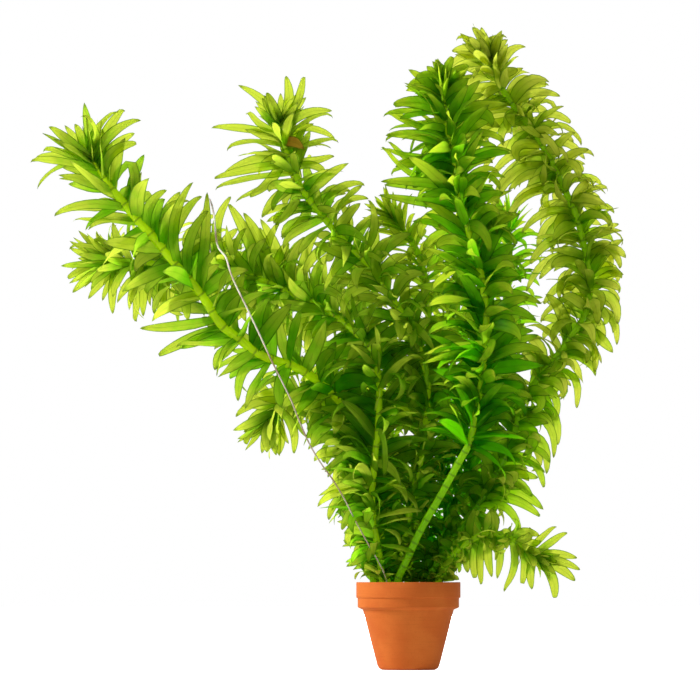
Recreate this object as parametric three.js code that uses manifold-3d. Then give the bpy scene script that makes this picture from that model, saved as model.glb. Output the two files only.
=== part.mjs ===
// Potted Brazilian waterweed: leafy water shoots and one long water root, planted in
// gravel in a small unglazed clay pot. Millimetres, +Z up, and the front faces -Y.
// The origin is the middle of the pot's foot, on the surface that the pot stands on.

import * as THREE from 'three';
import * as BufferGeometryUtils from 'three/addons/utils/BufferGeometryUtils.js';
import Module from 'manifold-3d';

const wasm = await Module();
wasm.setup();

// Clearance between pieces that lie against each other
const GAP = 0.3;

// The pot: a straight taper under a collar of two bands, the upper one a little wider
const POT_HEIGHT = 42;
const RIM_RADIUS = 25;
const RIM_BAND = 7.5;
const COLLAR_RADIUS = 24.3;
const COLLAR_BAND = 4.6;
const COLLAR_UNDERSIDE = 1.1;
const NECK_RADIUS = 21.8;
const FOOT_RADIUS = 14.9;
const FOOT_ROUND = 2.2;
const POT_WALL = 2.2;
const POT_FLOOR = 2.5;
const POT_SIDES = 28;

// The gravel that fills the pot, with a socket for each stem
const GRAVEL_TOP = 39;
const GRAVEL_CROWN = 1;
const GRAVEL_SIDES = 12;
const GRAVEL_LUMP = 0.7;
const SOCKET_LENGTH = 13;
const SOCKET_END_GAP = 1;
const SOCKET_SPARE = 1.3;
const SOCKET_SIDES = 4;

// The stems, which all start in the gravel
const STEM_START = 32;
const STEM_RADIUS = 1.7;
const STEM_SIDES = 5;
const STEM_STEP = 18;

// The long thin water root
const ROOT_RADIUS = 0.5;
const ROOT_SIDES = 4;
const ROOT_LENGTHS = 28;

// The leaves: thin blades with a flat upper face and a low keel, set round the stem in
// whorls. The solids carry each leaf that draws the plant's outline, and two opposite
// leaves of every third whorl, or of every fourth on a shoot that has outline leaves.
const WHORL_LEAVES = 4;
const CARRIED_WHORL = 3;
const CARRIED_WHORL_WITH_OUTLINE = 4;
const WHORL_TURN = THREE.MathUtils.degToRad(47);
const LEAF_KEEL = 0.8;
const LEAF_BASE_SHARE = 0.16;
const LEAF_BROADEST = 0.42;
const LEAF_ROOTING = 0.4;
const FIRST_LEAF_HEIGHT = 45;

// How far the outline's leaves lean to the front and the back, by turns
const OUTLINE_LEAN = 0.4;
const OUTLINE_LEAN_STEP = 2.4;

// The growing tip: whorls crowd together and their leaves close over the bud
const TIP_GAP = 2.3;
const TIP_GAP_GROWTH = 0.27;
const TIP_REACH = 18;
const TIP_LENGTH_SHARE = 0.72;
const TIP_OPENING = THREE.MathUtils.degToRad(24);

// A leaf that would touch another piece turns round the stem, or folds up, or is left out
const TURN_TRIES = [0, 24, -24, 46, -46, 70, -70];
const FOLD_TRIES = [0, -22];

// The shoots. Each route starts in the gravel and ends at the growing tip. Opening is
// the angle between stem and leaf, curl is how far the blade bends back, in degrees. An
// outline leaf is x and z on the stem, x and z of its tip, how far it bows upwards, and the
// width that shows from the front. Bare is how far the stem runs before its first whorl,
// past the height where the others have theirs, and step is the length of its straight
// lengths where it bends sharply.
const SHOOTS = [
  {
    name: 'shoot_left_long',
    colour: 0x9ccc1e,
    seed: 11,
    gap: 9.4,
    length: 26,
    width: 5.2,
    opening: 64,
    curl: 20,
    tipShare: 1,
    route: [
      [-10.5, 2, 32], [-11.7, 2, 52], [-16, 3, 76], [-22.3, 3, 100], [-28, 0, 119.5],
      [-35.2, -6, 131.5], [-52, -17, 143.5], [-70.3, -26, 149.8], [-80.9, -30, 157.5],
      [-89.6, -32, 164.7], [-97.8, -33, 177.2], [-109.8, -33, 191.6], [-121.8, -32, 206],
      [-134.8, -31, 220.9], [-144, -29, 232.5], [-151, -28, 243],
    ],
    outline: [
      [-148, 242, -179.5, 232, 4, 3], [-148, 239, -178.5, 242.5, 0.5, 4.5],
      [-149, 243, -179, 246, 1, 4.5], [-150, 245, -173.5, 248.5, 0, 4],
      [-151, 249, -170.5, 258.5, 0, 5], [-151, 250, -159.5, 261.5, 0, 4.5],
      [-150, 250, -152, 264.5, 3, 2.5], [-149, 250, -141, 268.5, 3, 2.5],
      [-147, 248, -136.5, 268, 1, 4.5], [-145, 246, -129, 262.5, 3, 5],
      [-144, 240, -131.5, 258, 2, 5.2], [-143, 236, -131, 252, 4, 5.2],
      [-139, 232, -126.5, 225.5, 13, 3.5], [-134, 222, -129, 233, 3, 5],
      [-132, 220, -167.5, 217, 3, 5], [-126, 212, -160.5, 215.5, 0, 2.5],
      [-127, 213, -124.5, 228, 3, 5], [-124, 208, -117.5, 229, 3, 5],
      [-119, 202, -110, 229.5, 2, 5], [-113, 196, -100, 225, 3, 5],
      [-89, 168, -128, 162, -1, 5.2], [-87, 164, -119.5, 150, 1, 5.4],
      [-80, 157.5, -109.5, 154.5, -1, 3.5], [-77, 156, -94, 155.5, 1.5, 4],
      [-68, 149, -92, 144.5, 2, 3.5], [-64, 148, -84, 129.5, 6, 4.5],
      [-98, 178, -92, 195, 2, 5], [-90, 165, -80, 182, 3, 5],
      [-104, 185, -106, 166, 1, 5], [-110, 192, -126, 180, 1, 4],
      [-108, 190, -104.5, 231, 5, 5], [-100, 180, -92, 212, 4, 5],
    ],
  },
  {
    name: 'shoot_left_outer',
    colour: 0x4f8c0c,
    seed: 23,
    gap: 7.8,
    length: 23,
    width: 4.4,
    opening: 66,
    curl: 36,
    tipShare: 0.95,
    route: [
      [-12, -8, 32], [-13.6, -9, 52], [-17.5, -12, 76], [-16.5, -14, 97], [-14.6, -14, 115],
      [-14.1, -11, 136], [-16.5, -5, 150.7], [-22.3, 2, 159], [-30.4, 9, 166.6],
      [-42.5, 16, 175.7], [-54.5, 21, 181], [-68.9, 25, 188], [-80.9, 28, 193],
      [-95.3, 30, 196.5], [-112.2, 31, 197], [-129, 30, 197.4], [-145, 29, 198],
    ],
    outline: [
      [-143, 198, -165.5, 204.5, -1, 4.2], [-141, 198, -163.5, 206.5, 2, 3],
      [-144, 198, -165, 196.5, 1, 3], [-145, 198, -165.5, 190.5, 1, 4.4],
      [-142, 197.5, -163, 183.5, 1, 5], [-138, 197.5, -157, 180.5, 1, 4.4],
      [-139, 198, -152, 210, 2, 3], [-141, 197.5, -144.5, 172.5, 1, 4.6],
      [-136, 197.5, -132.5, 169, 2, 2.6], [-125, 197, -129, 172, 1, 5],
      [-122, 197, -124, 172.5, -1, 3], [-117, 196, -119, 175, 1, 4.6],
      [-98, 195, -94, 173, 1, 5], [-89, 193, -83.5, 169, 3, 5],
      [-105, 196, -98, 217, 2, 5], [-92, 194, -84, 216, 2, 5],
      [-80, 190, -70, 209, 3, 4.6], [-70, 185.5, -71, 161, -3, 4.6],
      [-62, 182, -59, 159, 2, 4],
      [-86, 194, -88, 229, -6, 5], [-74, 190, -70, 215, -3, 5], [-62, 185, -59, 208, 3, 5],
      [-49, 179, -45, 211, 4, 5],
      [-15, 112, -36, 107, 2, 4], [-16, 104, -39, 97, 3, 4], [-17, 95, -36, 84, 3, 4],
      [-17.5, 88, -35.5, 75, 4, 5], [-17.5, 78, -33, 69, 3, 4.4],
    ],
  },
  {
    name: 'shoot_left_drooping',
    colour: 0x74a810,
    seed: 37,
    step: 9,
    gap: 7.4,
    length: 22,
    width: 4.6,
    opening: 60,
    curl: 34,
    tipShare: 0.85,
    route: [
      [-17, -3, 32], [-17.5, -3, 52], [-22.3, -3, 76], [-27.1, -3, 100], [-33.8, -1, 119.5],
      [-43.4, 3, 130], [-53, 6, 132.5], [-61.7, 8, 128], [-67, 9, 119.5],
    ],
    outline: [
      [-52, 133, -82, 127.5, 3, 5], [-60, 129, -83, 123.5, 2, 4.4],
      [-64, 126, -81, 115.5, 2, 4], [-66, 123, -79.5, 109.5, 2, 4],
      [-67, 120, -69, 105, 1, 3.6], [-66, 121, -60, 103.5, 2, 4.4],
      [-63, 126, -53.5, 105, 3, 4.4], [-54, 132, -44.5, 110, 3, 4.6],
      [-40, 127, -51, 141, 2, 4.4], [-24, 84, -40, 74, 3, 4],
    ],
  },
  {
    name: 'shoot_upper_left',
    colour: 0x86b814,
    seed: 41,
    gap: 8.6,
    length: 22,
    width: 4.4,
    opening: 62,
    curl: 32,
    route: [
      [-5, 1, 32], [-4, 0, 52], [1.8, -2, 81], [7.5, -3, 110], [9.5, -4, 136], [7.1, -5, 147.4],
      [3.7, -5, 158], [-1.6, -6, 168.5], [-8.8, -7, 179.6], [-17.5, -8, 192.6],
      [-25.6, -9, 200.3], [-35.2, -10, 210], [-44.9, -10, 222], [-50.6, -10, 229],
      [-55.4, -10, 241], [-59.8, -9, 251.7], [-61, -9, 262],
    ],
    outline: [
      [-61, 258, -81, 283, 3, 4.6], [-61, 262, -67.5, 275.5, 0, 5],
      [-61, 262, -57.5, 286.5, -2, 5], [-60.5, 262, -49.5, 284, -2, 3],
      [-60, 258, -37.5, 269.5, 3, 4.6], [-60, 255, -34, 258, 4, 4],
      [-60, 254, -37.5, 267, 2, 2.6], [-61, 256, -95, 261.5, 1, 4.2],
      [-61, 258, -77.5, 267.5, -2, 3], [-60, 250, -87, 251, 2, 3],
      [-59, 246, -90, 239.5, 2, 5], [-57, 242, -92.5, 235.5, 1, 4.6],
      [-55, 237, -93, 231.5, 1, 3.4], [-54, 235, -84, 226, 1, 3.4],
      [-58, 250, -34.5, 254, 0, 3], [-56, 243, -35, 246.5, -1, 4.2],
      [-54, 240, -40, 240.5, 2, 4.2], [-51, 231, -40.5, 223, 3, 4.4],
      [-52, 232, -72, 218, 2, 5], [-41, 217, -22.5, 234.5, 5, 4],
      [-38, 213, -20, 229, 4, 4.2], [-30, 205, -30.5, 223, 2, 4.4],
      [-22, 197.5, -16.5, 224, -3, 3], [-19, 195, -15, 214.5, -1, 5],
    ],
  },
  {
    name: 'shoot_centre',
    colour: 0x3f8a0c,
    seed: 53,
    gap: 8.2,
    length: 20,
    width: 3.8,
    opening: 60,
    curl: 40,
    route: [
      [0, 6.5, 32], [0.8, 7, 52], [4.7, 8, 81], [9, 9, 110], [11.4, 9, 138.7], [10.4, 9, 162.8],
      [9, 8, 182], [5.6, 7, 198.8], [-1, 5, 210], [-7.5, 4, 218],
    ],
  },
  {
    name: 'shoot_tall_front',
    colour: 0x64961e,
    seed: 61,
    gap: 8.8,
    length: 23,
    width: 4.6,
    opening: 58,
    curl: 34,
    bare: 73,
    route: [
      [-7, -12.5, 32], [-5, -13.5, 43.5], [-1.6, -16, 51], [5.6, -20, 66.6], [15.2, -25, 83.4],
      [23.9, -29, 99.3], [28.7, -31, 108.4], [31.6, -33, 122], [34.5, -35, 138.7],
      [36.4, -36, 158], [35.9, -36, 174.8], [33.5, -35, 190.6], [29.7, -33, 203.6],
      [25.8, -30, 219.5], [22, -25, 242], [18.6, -21, 259], [17.2, -18, 273],
      [18.4, -16.5, 280],
    ],
    outline: [
      [18.5, 278, 13, 293, 0, 5], [19, 277, 4, 285.5, 3, 4], [18, 277, -1, 283, 3, 4.4],
      [17.5, 270, -6.5, 270.5, 2, 5], [18, 265, -12, 266, 1, 3.4], [19, 260, -10, 260, 1, 3],
      [20, 254, -11, 254, 2, 3.4], [21.5, 247, -13.5, 248.5, -3, 3], [23, 238, -9, 238.5, 3, 3.6],
      [25, 229, -12.5, 232, 1, 5], [27, 219, -15, 227.5, 0, 4.4],
      [19, 278, 20, 293, 1, 4.6], [19, 276, 27, 291, 2, 4.6],
      [35.5, 178, 64, 175.5, 2, 4.6], [36, 168, 59.5, 167.5, 3, 5],
      [32, 196, 49, 183, 3, 4.6], [29, 207, 52, 204, 4, 4.6], [26, 222, 44, 209, 4, 4.4],
    ],
  },
  {
    name: 'shoot_great_arch',
    colour: 0x5c9410,
    seed: 71,
    gap: 8.4,
    length: 23,
    width: 4.2,
    opening: 64,
    curl: 78,
    route: [
      [7, 1.5, 32], [11.4, 1, 47.4], [22.5, 1, 64.2], [33.5, 0, 78.6], [40.2, 0, 90.6],
      [45.1, 0, 99.3], [49.9, 0, 110], [53.2, 0, 122], [56.6, 1, 132], [64.3, 1, 141.6],
      [71, 2, 149.8], [77.7, 3, 159], [84, 4, 168.5], [87.4, 4, 179.6], [86.9, 5, 192.6],
      [84.5, 6, 206], [81.1, 6, 219], [76.3, 6, 230], [71, 6, 241], [66.7, 6, 249.3],
      [61.9, 6, 257.5], [54.7, 6, 267], [47.5, 5, 276.7], [41.7, 5, 287.8], [38.3, 4, 295.5],
    ],
    outline: [
      [38, 295, 35.5, 310.8, 0, 4.4], [38, 293, 32.5, 309, 1, 5], [35.5, 295, 21, 301, 2, 5],
      [36, 300, 24.5, 306.5, 2, 3], [36, 297, 45, 308.5, 3, 2.6], [40, 291, 50.5, 292.5, 10, 4],
      [37.5, 297, 44, 299, 3, 4.2], [44, 283, 52.5, 291.5, 1, 5],
      [48, 276, 67, 283.5, 2, 5], [51, 272, 72.5, 278, 3, 4.4], [56, 265, 67, 273.5, 3, 5],
      [60, 260, 78.5, 266, 5, 4.2], [63, 256, 86, 256.5, 6, 3], [67, 249.5, 87.5, 250, 5, 4.2],
      [72, 240, 85.5, 251.5, 2, 4.2], [76, 231, 92, 230, 7, 4.4], [79, 224, 96, 234, 2, 3],
      [81, 219, 93, 225, 4, 5], [85, 206, 102.5, 216.5, 1, 4.2], [86, 202, 104, 195.5, 5, 3.6],
      [87, 195, 100.5, 205.5, 2, 3], [87.5, 184, 103, 178, 3, 3], [87.5, 180, 103, 168, 5, 5],
      [86, 174, 104, 157.5, 5, 4.2], [85.5, 171, 95, 159, 2, 5], [78, 159, 92.5, 143.5, 5, 4.2],
      [73, 152, 93, 146, 5, 4.2], [66, 144, 83, 127, 7, 3], [60, 136, 74.5, 120.5, 5, 4.2],
      [57, 131, 73.5, 108.5, 6, 4.2], [54, 124, 72, 103, 6, 4.2], [51, 114, 70, 95, 6, 5],
      [46.5, 103, 66.5, 89, 5, 4.2], [42, 93, 62.5, 93, 1, 5], [38, 87, 66.5, 78.5, 3, 6],
      [33, 78, 55, 69, 5, 4.4],
      [49, 274, 27.5, 261.5, 6, 4], [53, 269, 26, 254, 7, 4], [58, 262, 27, 254, 5, 4],
      [64, 253, 33.5, 242, 6, 4], [67, 248, 38, 236, 6, 4.2], [71, 240, 42, 233, 5, 3.6],
      [76, 230, 46.5, 218, 6, 4.2], [80, 220, 54, 212, 4, 4.2], [86, 198, 55, 184.5, 7, 4.2],
      [87, 186, 64.5, 177.5, 4, 4.2], [87, 180, 62, 169, 3, 3],
    ],
  },
  {
    name: 'shoot_low_right',
    step: 10,
    colour: 0x8ca814,
    seed: 83,
    gap: 6,
    length: 17,
    width: 3.8,
    opening: 64,
    curl: 46,
    route: [
      [11, -7, 32], [15.2, -8, 45], [21, -11, 54.6], [29.7, -14, 61.8], [39.3, -17, 65.1],
      [47.9, -19, 63.2], [55.6, -20, 58], [62, -21, 53],
    ],
    outline: [
      [60, 55, 81, 54.5, 1, 4.4], [61, 53, 80.5, 49, 1, 4.2], [61, 53, 80.5, 43, 1, 5],
      [61, 52.5, 70.5, 35, 2, 5], [61, 52, 64, 33.5, 1, 5], [60, 54, 57.5, 38, 1, 4.2],
      [59, 55, 74, 65.5, 0, 3.6], [57, 57, 70, 69.5, 0, 2.6], [54, 59, 54.5, 41, 1, 3.6],
      [48, 63, 46.5, 38, -3, 3.4], [42, 65, 43, 43, 1, 3.4], [36, 64, 34, 41.5, 1, 3],
      [50, 62, 62, 67, 2, 4], [38, 65, 40, 79, 1, 4], [30, 62, 30, 76, 1, 4],
    ],
  },
  {
    name: 'shoot_back_centre',
    colour: 0x2f7606,
    seed: 97,
    gap: 8.6,
    length: 21,
    width: 3.8,
    opening: 62,
    curl: 46,
    route: [
      [3, 14, 32], [4, 15.5, 52], [9, 19, 80], [16, 25, 110], [21, 30, 140], [24, 35, 168],
      [24, 39, 192], [21, 41, 212],
    ],
  },
  {
    name: 'shoot_back_left',
    colour: 0x3a7f08,
    seed: 103,
    gap: 8.2,
    length: 20,
    width: 3.8,
    opening: 62,
    curl: 42,
    route: [
      [-7.5, 11.5, 32], [-9, 14, 55], [-10, 20, 85], [-8, 27, 115], [-9, 34, 145],
      [-15, 40, 170], [-24, 45, 192],
    ],
  },
  {
    name: 'shoot_back_right',
    colour: 0x447e0a,
    seed: 113,
    gap: 8.6,
    length: 21,
    width: 3.8,
    opening: 62,
    curl: 58,
    route: [
      [11, 10, 32], [14, 12, 52], [22, 18, 78], [32, 26, 106], [40, 33, 136], [46, 38, 166],
      [50, 42, 196], [50, 44, 220],
    ],
  },
];

// The water root rises from the gravel in front of the plant, turns over above the outer
// left shoot and ends on that shoot's stem, where it grew from
const ROOT_ROUTE = [
  [-10.5, -15.5, 32], [-10.5, -15.5, 42], [-13.5, -17, 50], [-18.9, -20, 59.4],
  [-25.6, -24, 71.4], [-30.4, -27, 81], [-36.2, -30, 90.6], [-41.5, -33, 97.8],
  [-47.3, -36, 107.5], [-52.1, -39, 118.5], [-55.9, -41, 128], [-60.7, -43, 137.8],
  [-65.5, -45, 147.4], [-69.9, -46, 157], [-77.6, -46, 173.3], [-81.9, -46, 182],
  [-84.8, -45, 189.2], [-86.7, -43, 195.4], [-90.1, -40, 199.8], [-91.5, -36, 205],
  [-92.5, -30, 214.7], [-94, -20, 222], [-95.8, -8, 225.5], [-97, 6, 220],
  [-96.5, 20, 208], [-95, 28.6, 197],
];

// Steady pseudo-random numbers, so that the plant grows the same way every time
function randomSource(seed) {
  let state = seed;
  return () => {
    state = (state * 16807) % 2147483647;
    return state / 2147483647;
  };
}

// Closed solids

function solidOf(geometry) {
  geometry.deleteAttribute('normal');
  geometry.deleteAttribute('uv');
  const merged = BufferGeometryUtils.mergeVertices(geometry, 1e-5);
  const solid = new wasm.Manifold(new wasm.Mesh({
    numProp: 3,
    vertProperties: new Float32Array(merged.attributes.position.array),
    triVerts: new Uint32Array(merged.index.array),
  }));
  merged.computeBoundingBox();
  return { solid, box: merged.boundingBox };
}

function geometryOf(solid) {
  const mesh = solid.getMesh();
  const geometry = new THREE.BufferGeometry();
  geometry.setAttribute('position', new THREE.BufferAttribute(mesh.vertProperties, mesh.numProp));
  geometry.setIndex(new THREE.BufferAttribute(mesh.triVerts, 1));
  geometry.computeVertexNormals();
  return geometry;
}

function turned(profile, sides) {
  const points = profile.map(([radius, z]) => new THREE.Vector2(radius, z));
  return new THREE.LatheGeometry(points, sides).rotateX(Math.PI / 2);
}

// A round tube along a route, drawn with a few flat sides and straight lengths
function tube(curve, radius, sides, lengths) {
  const section = new THREE.Shape();
  for (let i = 0; i < sides; i += 1) {
    const angle = (i / sides) * 2 * Math.PI;
    const corner = [radius * Math.cos(angle), radius * Math.sin(angle)];
    if (i === 0) {
      section.moveTo(...corner);
    } else {
      section.lineTo(...corner);
    }
  }
  section.closePath();
  return new THREE.ExtrudeGeometry(section, {
    steps: lengths,
    extrudePath: curve,
    bevelEnabled: false,
  });
}

function curveOf(route) {
  const points = route.map((point) => new THREE.Vector3(...point));
  return new THREE.CatmullRomCurve3(points, false, 'catmullrom', 0.5);
}

// The pot and its gravel

function potGeometry() {
  const bandFoot = POT_HEIGHT - RIM_BAND;
  const collarFoot = bandFoot - COLLAR_BAND;
  const profile = [
    [0, 0],
    [FOOT_RADIUS - FOOT_ROUND, 0],
    [FOOT_RADIUS - FOOT_ROUND * 0.35, FOOT_ROUND * 0.35],
    [FOOT_RADIUS, FOOT_ROUND],
    [NECK_RADIUS, collarFoot - COLLAR_UNDERSIDE],
    [COLLAR_RADIUS, collarFoot],
    [COLLAR_RADIUS, bandFoot],
    [RIM_RADIUS, bandFoot],
    [RIM_RADIUS, POT_HEIGHT],
    [RIM_RADIUS - POT_WALL, POT_HEIGHT],
    [FOOT_RADIUS - POT_WALL, POT_FLOOR],
    [0, POT_FLOOR],
  ];
  return turned(profile, POT_SIDES);
}

// Half the width of the pot's hollow at a height
function hollowRadius(z) {
  const share = (z - POT_FLOOR) / (POT_HEIGHT - POT_FLOOR);
  return FOOT_RADIUS - POT_WALL + share * (RIM_RADIUS - FOOT_RADIUS);
}

function gravelGeometry() {
  const spare = 2 * GAP;
  const foot = POT_FLOOR + GAP;
  const profile = [
    [0, foot],
    [hollowRadius(foot) - spare, foot],
    [hollowRadius(GRAVEL_TOP) - spare, GRAVEL_TOP - GRAVEL_CROWN],
    [hollowRadius(GRAVEL_TOP) * 0.75, GRAVEL_TOP - GRAVEL_CROWN * 0.6],
    [hollowRadius(GRAVEL_TOP) * 0.4, GRAVEL_TOP],
    [0, GRAVEL_TOP],
  ];
  const geometry = turned(profile, GRAVEL_SIDES);
  // The seam's two copies of a corner get one height, because it comes from their place
  const position = geometry.attributes.position;
  for (let i = 0; i < position.count; i += 1) {
    const x = position.getX(i);
    const y = position.getY(i);
    const lump = Math.sin(x * 1.9 + 0.7) * Math.cos(y * 2.3) + 0.5 * Math.sin(x * 0.8 - y * 1.3);
    if (position.getZ(i) > GRAVEL_TOP - GRAVEL_CROWN * 0.9) {
      position.setZ(i, position.getZ(i) + GRAVEL_LUMP * lump);
    }
  }
  return geometry;
}

// The hole that a stem or root stands in, in line with its first straight length
function socketGeometry(curve, lengths, radius) {
  const start = curve.getPointAt(0);
  const direction = curve.getPointAt(1 / lengths).sub(start).normalize();
  const turn = new THREE.Quaternion().setFromUnitVectors(new THREE.Vector3(0, 1, 0), direction);
  const middle = start.addScaledVector(direction, SOCKET_LENGTH / 2 - SOCKET_END_GAP);
  return new THREE.CylinderGeometry(radius, radius, SOCKET_LENGTH, SOCKET_SIDES)
    .applyQuaternion(turn)
    .translate(middle.x, middle.y, middle.z);
}

// The leaves

// The whorls of a shoot, from the lowest to the bud
function whorlLeaves(shoot, stemLength) {
  const random = randomSource(shoot.seed);
  const leaves = [];
  let along = (FIRST_LEAF_HEIGHT - STEM_START) + (shoot.bare ?? 0);
  for (let whorl = 0; along < stemLength; whorl += 1) {
    const toTip = stemLength - along;
    const grown = Math.min(1, toTip / TIP_REACH);
    for (let place = 0; place < WHORL_LEAVES; place += 1) {
      const draw = [random(), random(), random(), random(), random(), random()];
      leaves.push({
        whorl,
        place,
        along,
        azimuth: whorl * WHORL_TURN + (place * 2 * Math.PI) / WHORL_LEAVES + (draw[0] - 0.5) * 0.5,
        opening: THREE.MathUtils.lerp(
          TIP_OPENING,
          THREE.MathUtils.degToRad(shoot.opening + (draw[1] - 0.5) * 26),
          grown,
        ),
        curl: THREE.MathUtils.degToRad(shoot.curl * (0.45 + 1.1 * draw[2]) + 3) * grown,
        length: shoot.length * (0.84 + 0.32 * draw[3])
          * THREE.MathUtils.lerp(shoot.tipShare ?? TIP_LENGTH_SHARE, 1, grown),
        width: shoot.width * THREE.MathUtils.lerp(0.8, 1, grown),
        roll: (draw[4] - 0.5) * 1.5,
        twist: (draw[5] - 0.5) * 0.9,
      });
    }
    along += Math.min(shoot.gap, TIP_GAP + TIP_GAP_GROWTH * toTip);
  }
  return leaves;
}

// A place along a stem, on the straight length between two of its steps
function stemPlace({ curve, lengths }, along) {
  const share = along / curve.getLength();
  const step = Math.min(Math.floor(share * lengths), lengths - 1);
  return curve.getPointAt(step / lengths)
    .lerp(curve.getPointAt((step + 1) / lengths), share * lengths - step);
}

// The directions along a stem there, and outwards at an azimuth round it
function stemDirections({ curve }, along, azimuth) {
  const forward = curve.getTangentAt(along / curve.getLength());
  const side = new THREE.Vector3().crossVectors(forward, new THREE.Vector3(0, 1, 0)).normalize();
  const front = new THREE.Vector3().crossVectors(side, forward);
  const outward = side.multiplyScalar(Math.cos(azimuth)).addScaledVector(front, Math.sin(azimuth));
  return { forward, outward };
}

// A leaf of a whorl: an arc that opens from the stem and curls back. A path gives the
// middle of the blade, the direction of its width and that of its upper face.
function whorlLeafPath(stem, leaf) {
  const origin = stemPlace(stem, leaf.along);
  const { forward, outward } = stemDirections(stem, leaf.along, leaf.azimuth);
  const side = new THREE.Vector3().crossVectors(forward, outward);
  const radius = leaf.length / leaf.curl;
  return (share) => {
    const bend = leaf.opening + leaf.curl * share;
    const turn = leaf.roll + leaf.twist * share;
    const rise = LEAF_ROOTING + radius * (Math.cos(leaf.opening) - Math.cos(bend));
    const reach = radius * (Math.sin(bend) - Math.sin(leaf.opening));
    const face = forward.clone().multiplyScalar(Math.sin(bend))
      .addScaledVector(outward, -Math.cos(bend));
    return {
      point: origin.clone().addScaledVector(outward, rise).addScaledVector(forward, reach),
      across: side.clone().multiplyScalar(Math.cos(turn)).addScaledVector(face, Math.sin(turn)),
      upper: face.multiplyScalar(Math.cos(turn)).addScaledVector(side, -Math.sin(turn)),
    };
  };
}

// A leaf of the outline: a bowed line from the stem to its tip, its face to the front
function outlineLeafPath(stem, leaf) {
  const { start, tip } = leaf;
  const chord = tip.clone().sub(start);
  const upwards = new THREE.Vector3(-chord.z, 0, chord.x)
    .multiplyScalar(Math.sign(chord.x) / Math.hypot(chord.x, chord.z));
  const middle = start.clone().lerp(tip, 0.5).addScaledVector(upwards, 2 * leaf.bow);
  const line = new THREE.QuadraticBezierCurve3(start, middle, tip);
  return (share) => {
    const direction = line.getTangent(share);
    const upper = new THREE.Vector3(0, -Math.cos(leaf.tilt), Math.sin(leaf.tilt));
    upper.addScaledVector(direction, -upper.dot(direction)).normalize();
    return {
      point: line.getPoint(share),
      across: new THREE.Vector3().crossVectors(upper, direction),
      upper,
    };
  };
}

// The leaves that draw the outline, each from the place on the stem nearest to its base
function outlineLeaves(stem) {
  return (stem.shoot.outline ?? []).map((row, index) => {
    const [baseX, baseZ, tipX, tipZ, bow, seenWidth] = row;
    const stemLength = stem.curve.getLength();
    let along = 0;
    let nearest = Infinity;
    for (let trial = 0; trial < stemLength; trial += 1) {
      const place = stemPlace(stem, trial);
      const distance = Math.hypot(place.x - baseX, place.z - baseZ);
      if (distance < nearest) {
        nearest = distance;
        along = trial;
      }
    }
    const start = stemPlace(stem, along);
    const reach = Math.hypot(tipX - start.x, tipZ - start.z);
    const lean = OUTLINE_LEAN * Math.sin(OUTLINE_LEAN_STEP * (index + 1));
    return {
      start,
      tip: new THREE.Vector3(tipX, start.y + reach * lean, tipZ),
      bow,
      width: Math.max(seenWidth, stem.shoot.width),
      tilt: Math.acos(Math.min(1, seenWidth / stem.shoot.width)),
    };
  });
}

// The solid of a leaf blade along a path. Spare makes it larger all round, for clearance.
function leafGeometry(path, width, spare) {
  const geometry = new THREE.ConeGeometry(1, 1, 3, 2);
  const position = geometry.attributes.position;
  for (let i = 0; i < position.count; i += 1) {
    const height = position.getY(i) + 0.5;
    const swell = height < 1 ? 1 / (1 - height) : 0;
    const corner = (position.getX(i) * swell) / Math.sin(Math.PI / 3);
    const keel = (position.getZ(i) * swell + 0.5) / 1.5;
    const isBase = height === 0;
    const isTip = height === 1;
    const { point, across, upper } = path(isBase || isTip ? height : LEAF_BROADEST);
    const halfWidth = isTip ? 0 : (width / 2) * (isBase ? LEAF_BASE_SHARE : 1) + spare;
    const thickness = isBase ? LEAF_KEEL / 2 : LEAF_KEEL;
    const depth = isTip ? -spare : (thickness + 2 * spare) * keel - spare;
    point.addScaledVector(across, corner * halfWidth).addScaledVector(upper, -depth);
    position.setXYZ(i, point.x, point.y, point.z);
  }
  return geometry;
}

// True where a piece with its clearance meets none of the others
function isClear(piece, others) {
  return !others.some((other) => other.box.intersectsBox(piece.box)
    && !piece.solid.intersect(other.solid).isEmpty());
}

// The solid of a leaf if it is clear of the others, and otherwise nothing
function clearLeaf(path, width, others) {
  return isClear(solidOf(leafGeometry(path, width, GAP)), others)
    ? solidOf(leafGeometry(path, width, 0))
    : null;
}

// A whorl leaf as it grew, or turned or folded until it is clear, or nothing
function fittedLeaf(stem, leaf, others) {
  for (const fold of FOLD_TRIES) {
    for (const turn of TURN_TRIES) {
      const path = whorlLeafPath(stem, {
        ...leaf,
        azimuth: leaf.azimuth + THREE.MathUtils.degToRad(turn),
        opening: leaf.opening + THREE.MathUtils.degToRad(fold),
      });
      const fitted = clearLeaf(path, leaf.width, others);
      if (fitted) {
        return fitted;
      }
    }
  }
  return null;
}

// The plant in its pot

const waterweed = new THREE.Group();

function addPiece(name, solid, colour, roughness) {
  const material = new THREE.MeshStandardMaterial({ color: colour, roughness, metalness: 0 });
  const mesh = new THREE.Mesh(geometryOf(solid), material);
  mesh.name = name;
  waterweed.add(mesh);
}

const pot = solidOf(potGeometry());
const rootCurve = curveOf(ROOT_ROUTE);
const root = solidOf(tube(rootCurve, ROOT_RADIUS, ROOT_SIDES, ROOT_LENGTHS));
const stems = SHOOTS.map((shoot) => {
  const curve = curveOf(shoot.route);
  const lengths = Math.round(curve.getLength() / (shoot.step ?? STEM_STEP));
  return { shoot, curve, lengths, ...solidOf(tube(curve, STEM_RADIUS, STEM_SIDES, lengths)) };
});

let gravel = solidOf(gravelGeometry()).solid;
for (const stem of stems) {
  const socket = socketGeometry(stem.curve, stem.lengths, STEM_RADIUS + SOCKET_SPARE);
  gravel = gravel.subtract(solidOf(socket).solid);
}
const rootSocket = socketGeometry(rootCurve, ROOT_LENGTHS, ROOT_RADIUS + SOCKET_SPARE);
gravel = gravel.subtract(solidOf(rootSocket).solid);

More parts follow.
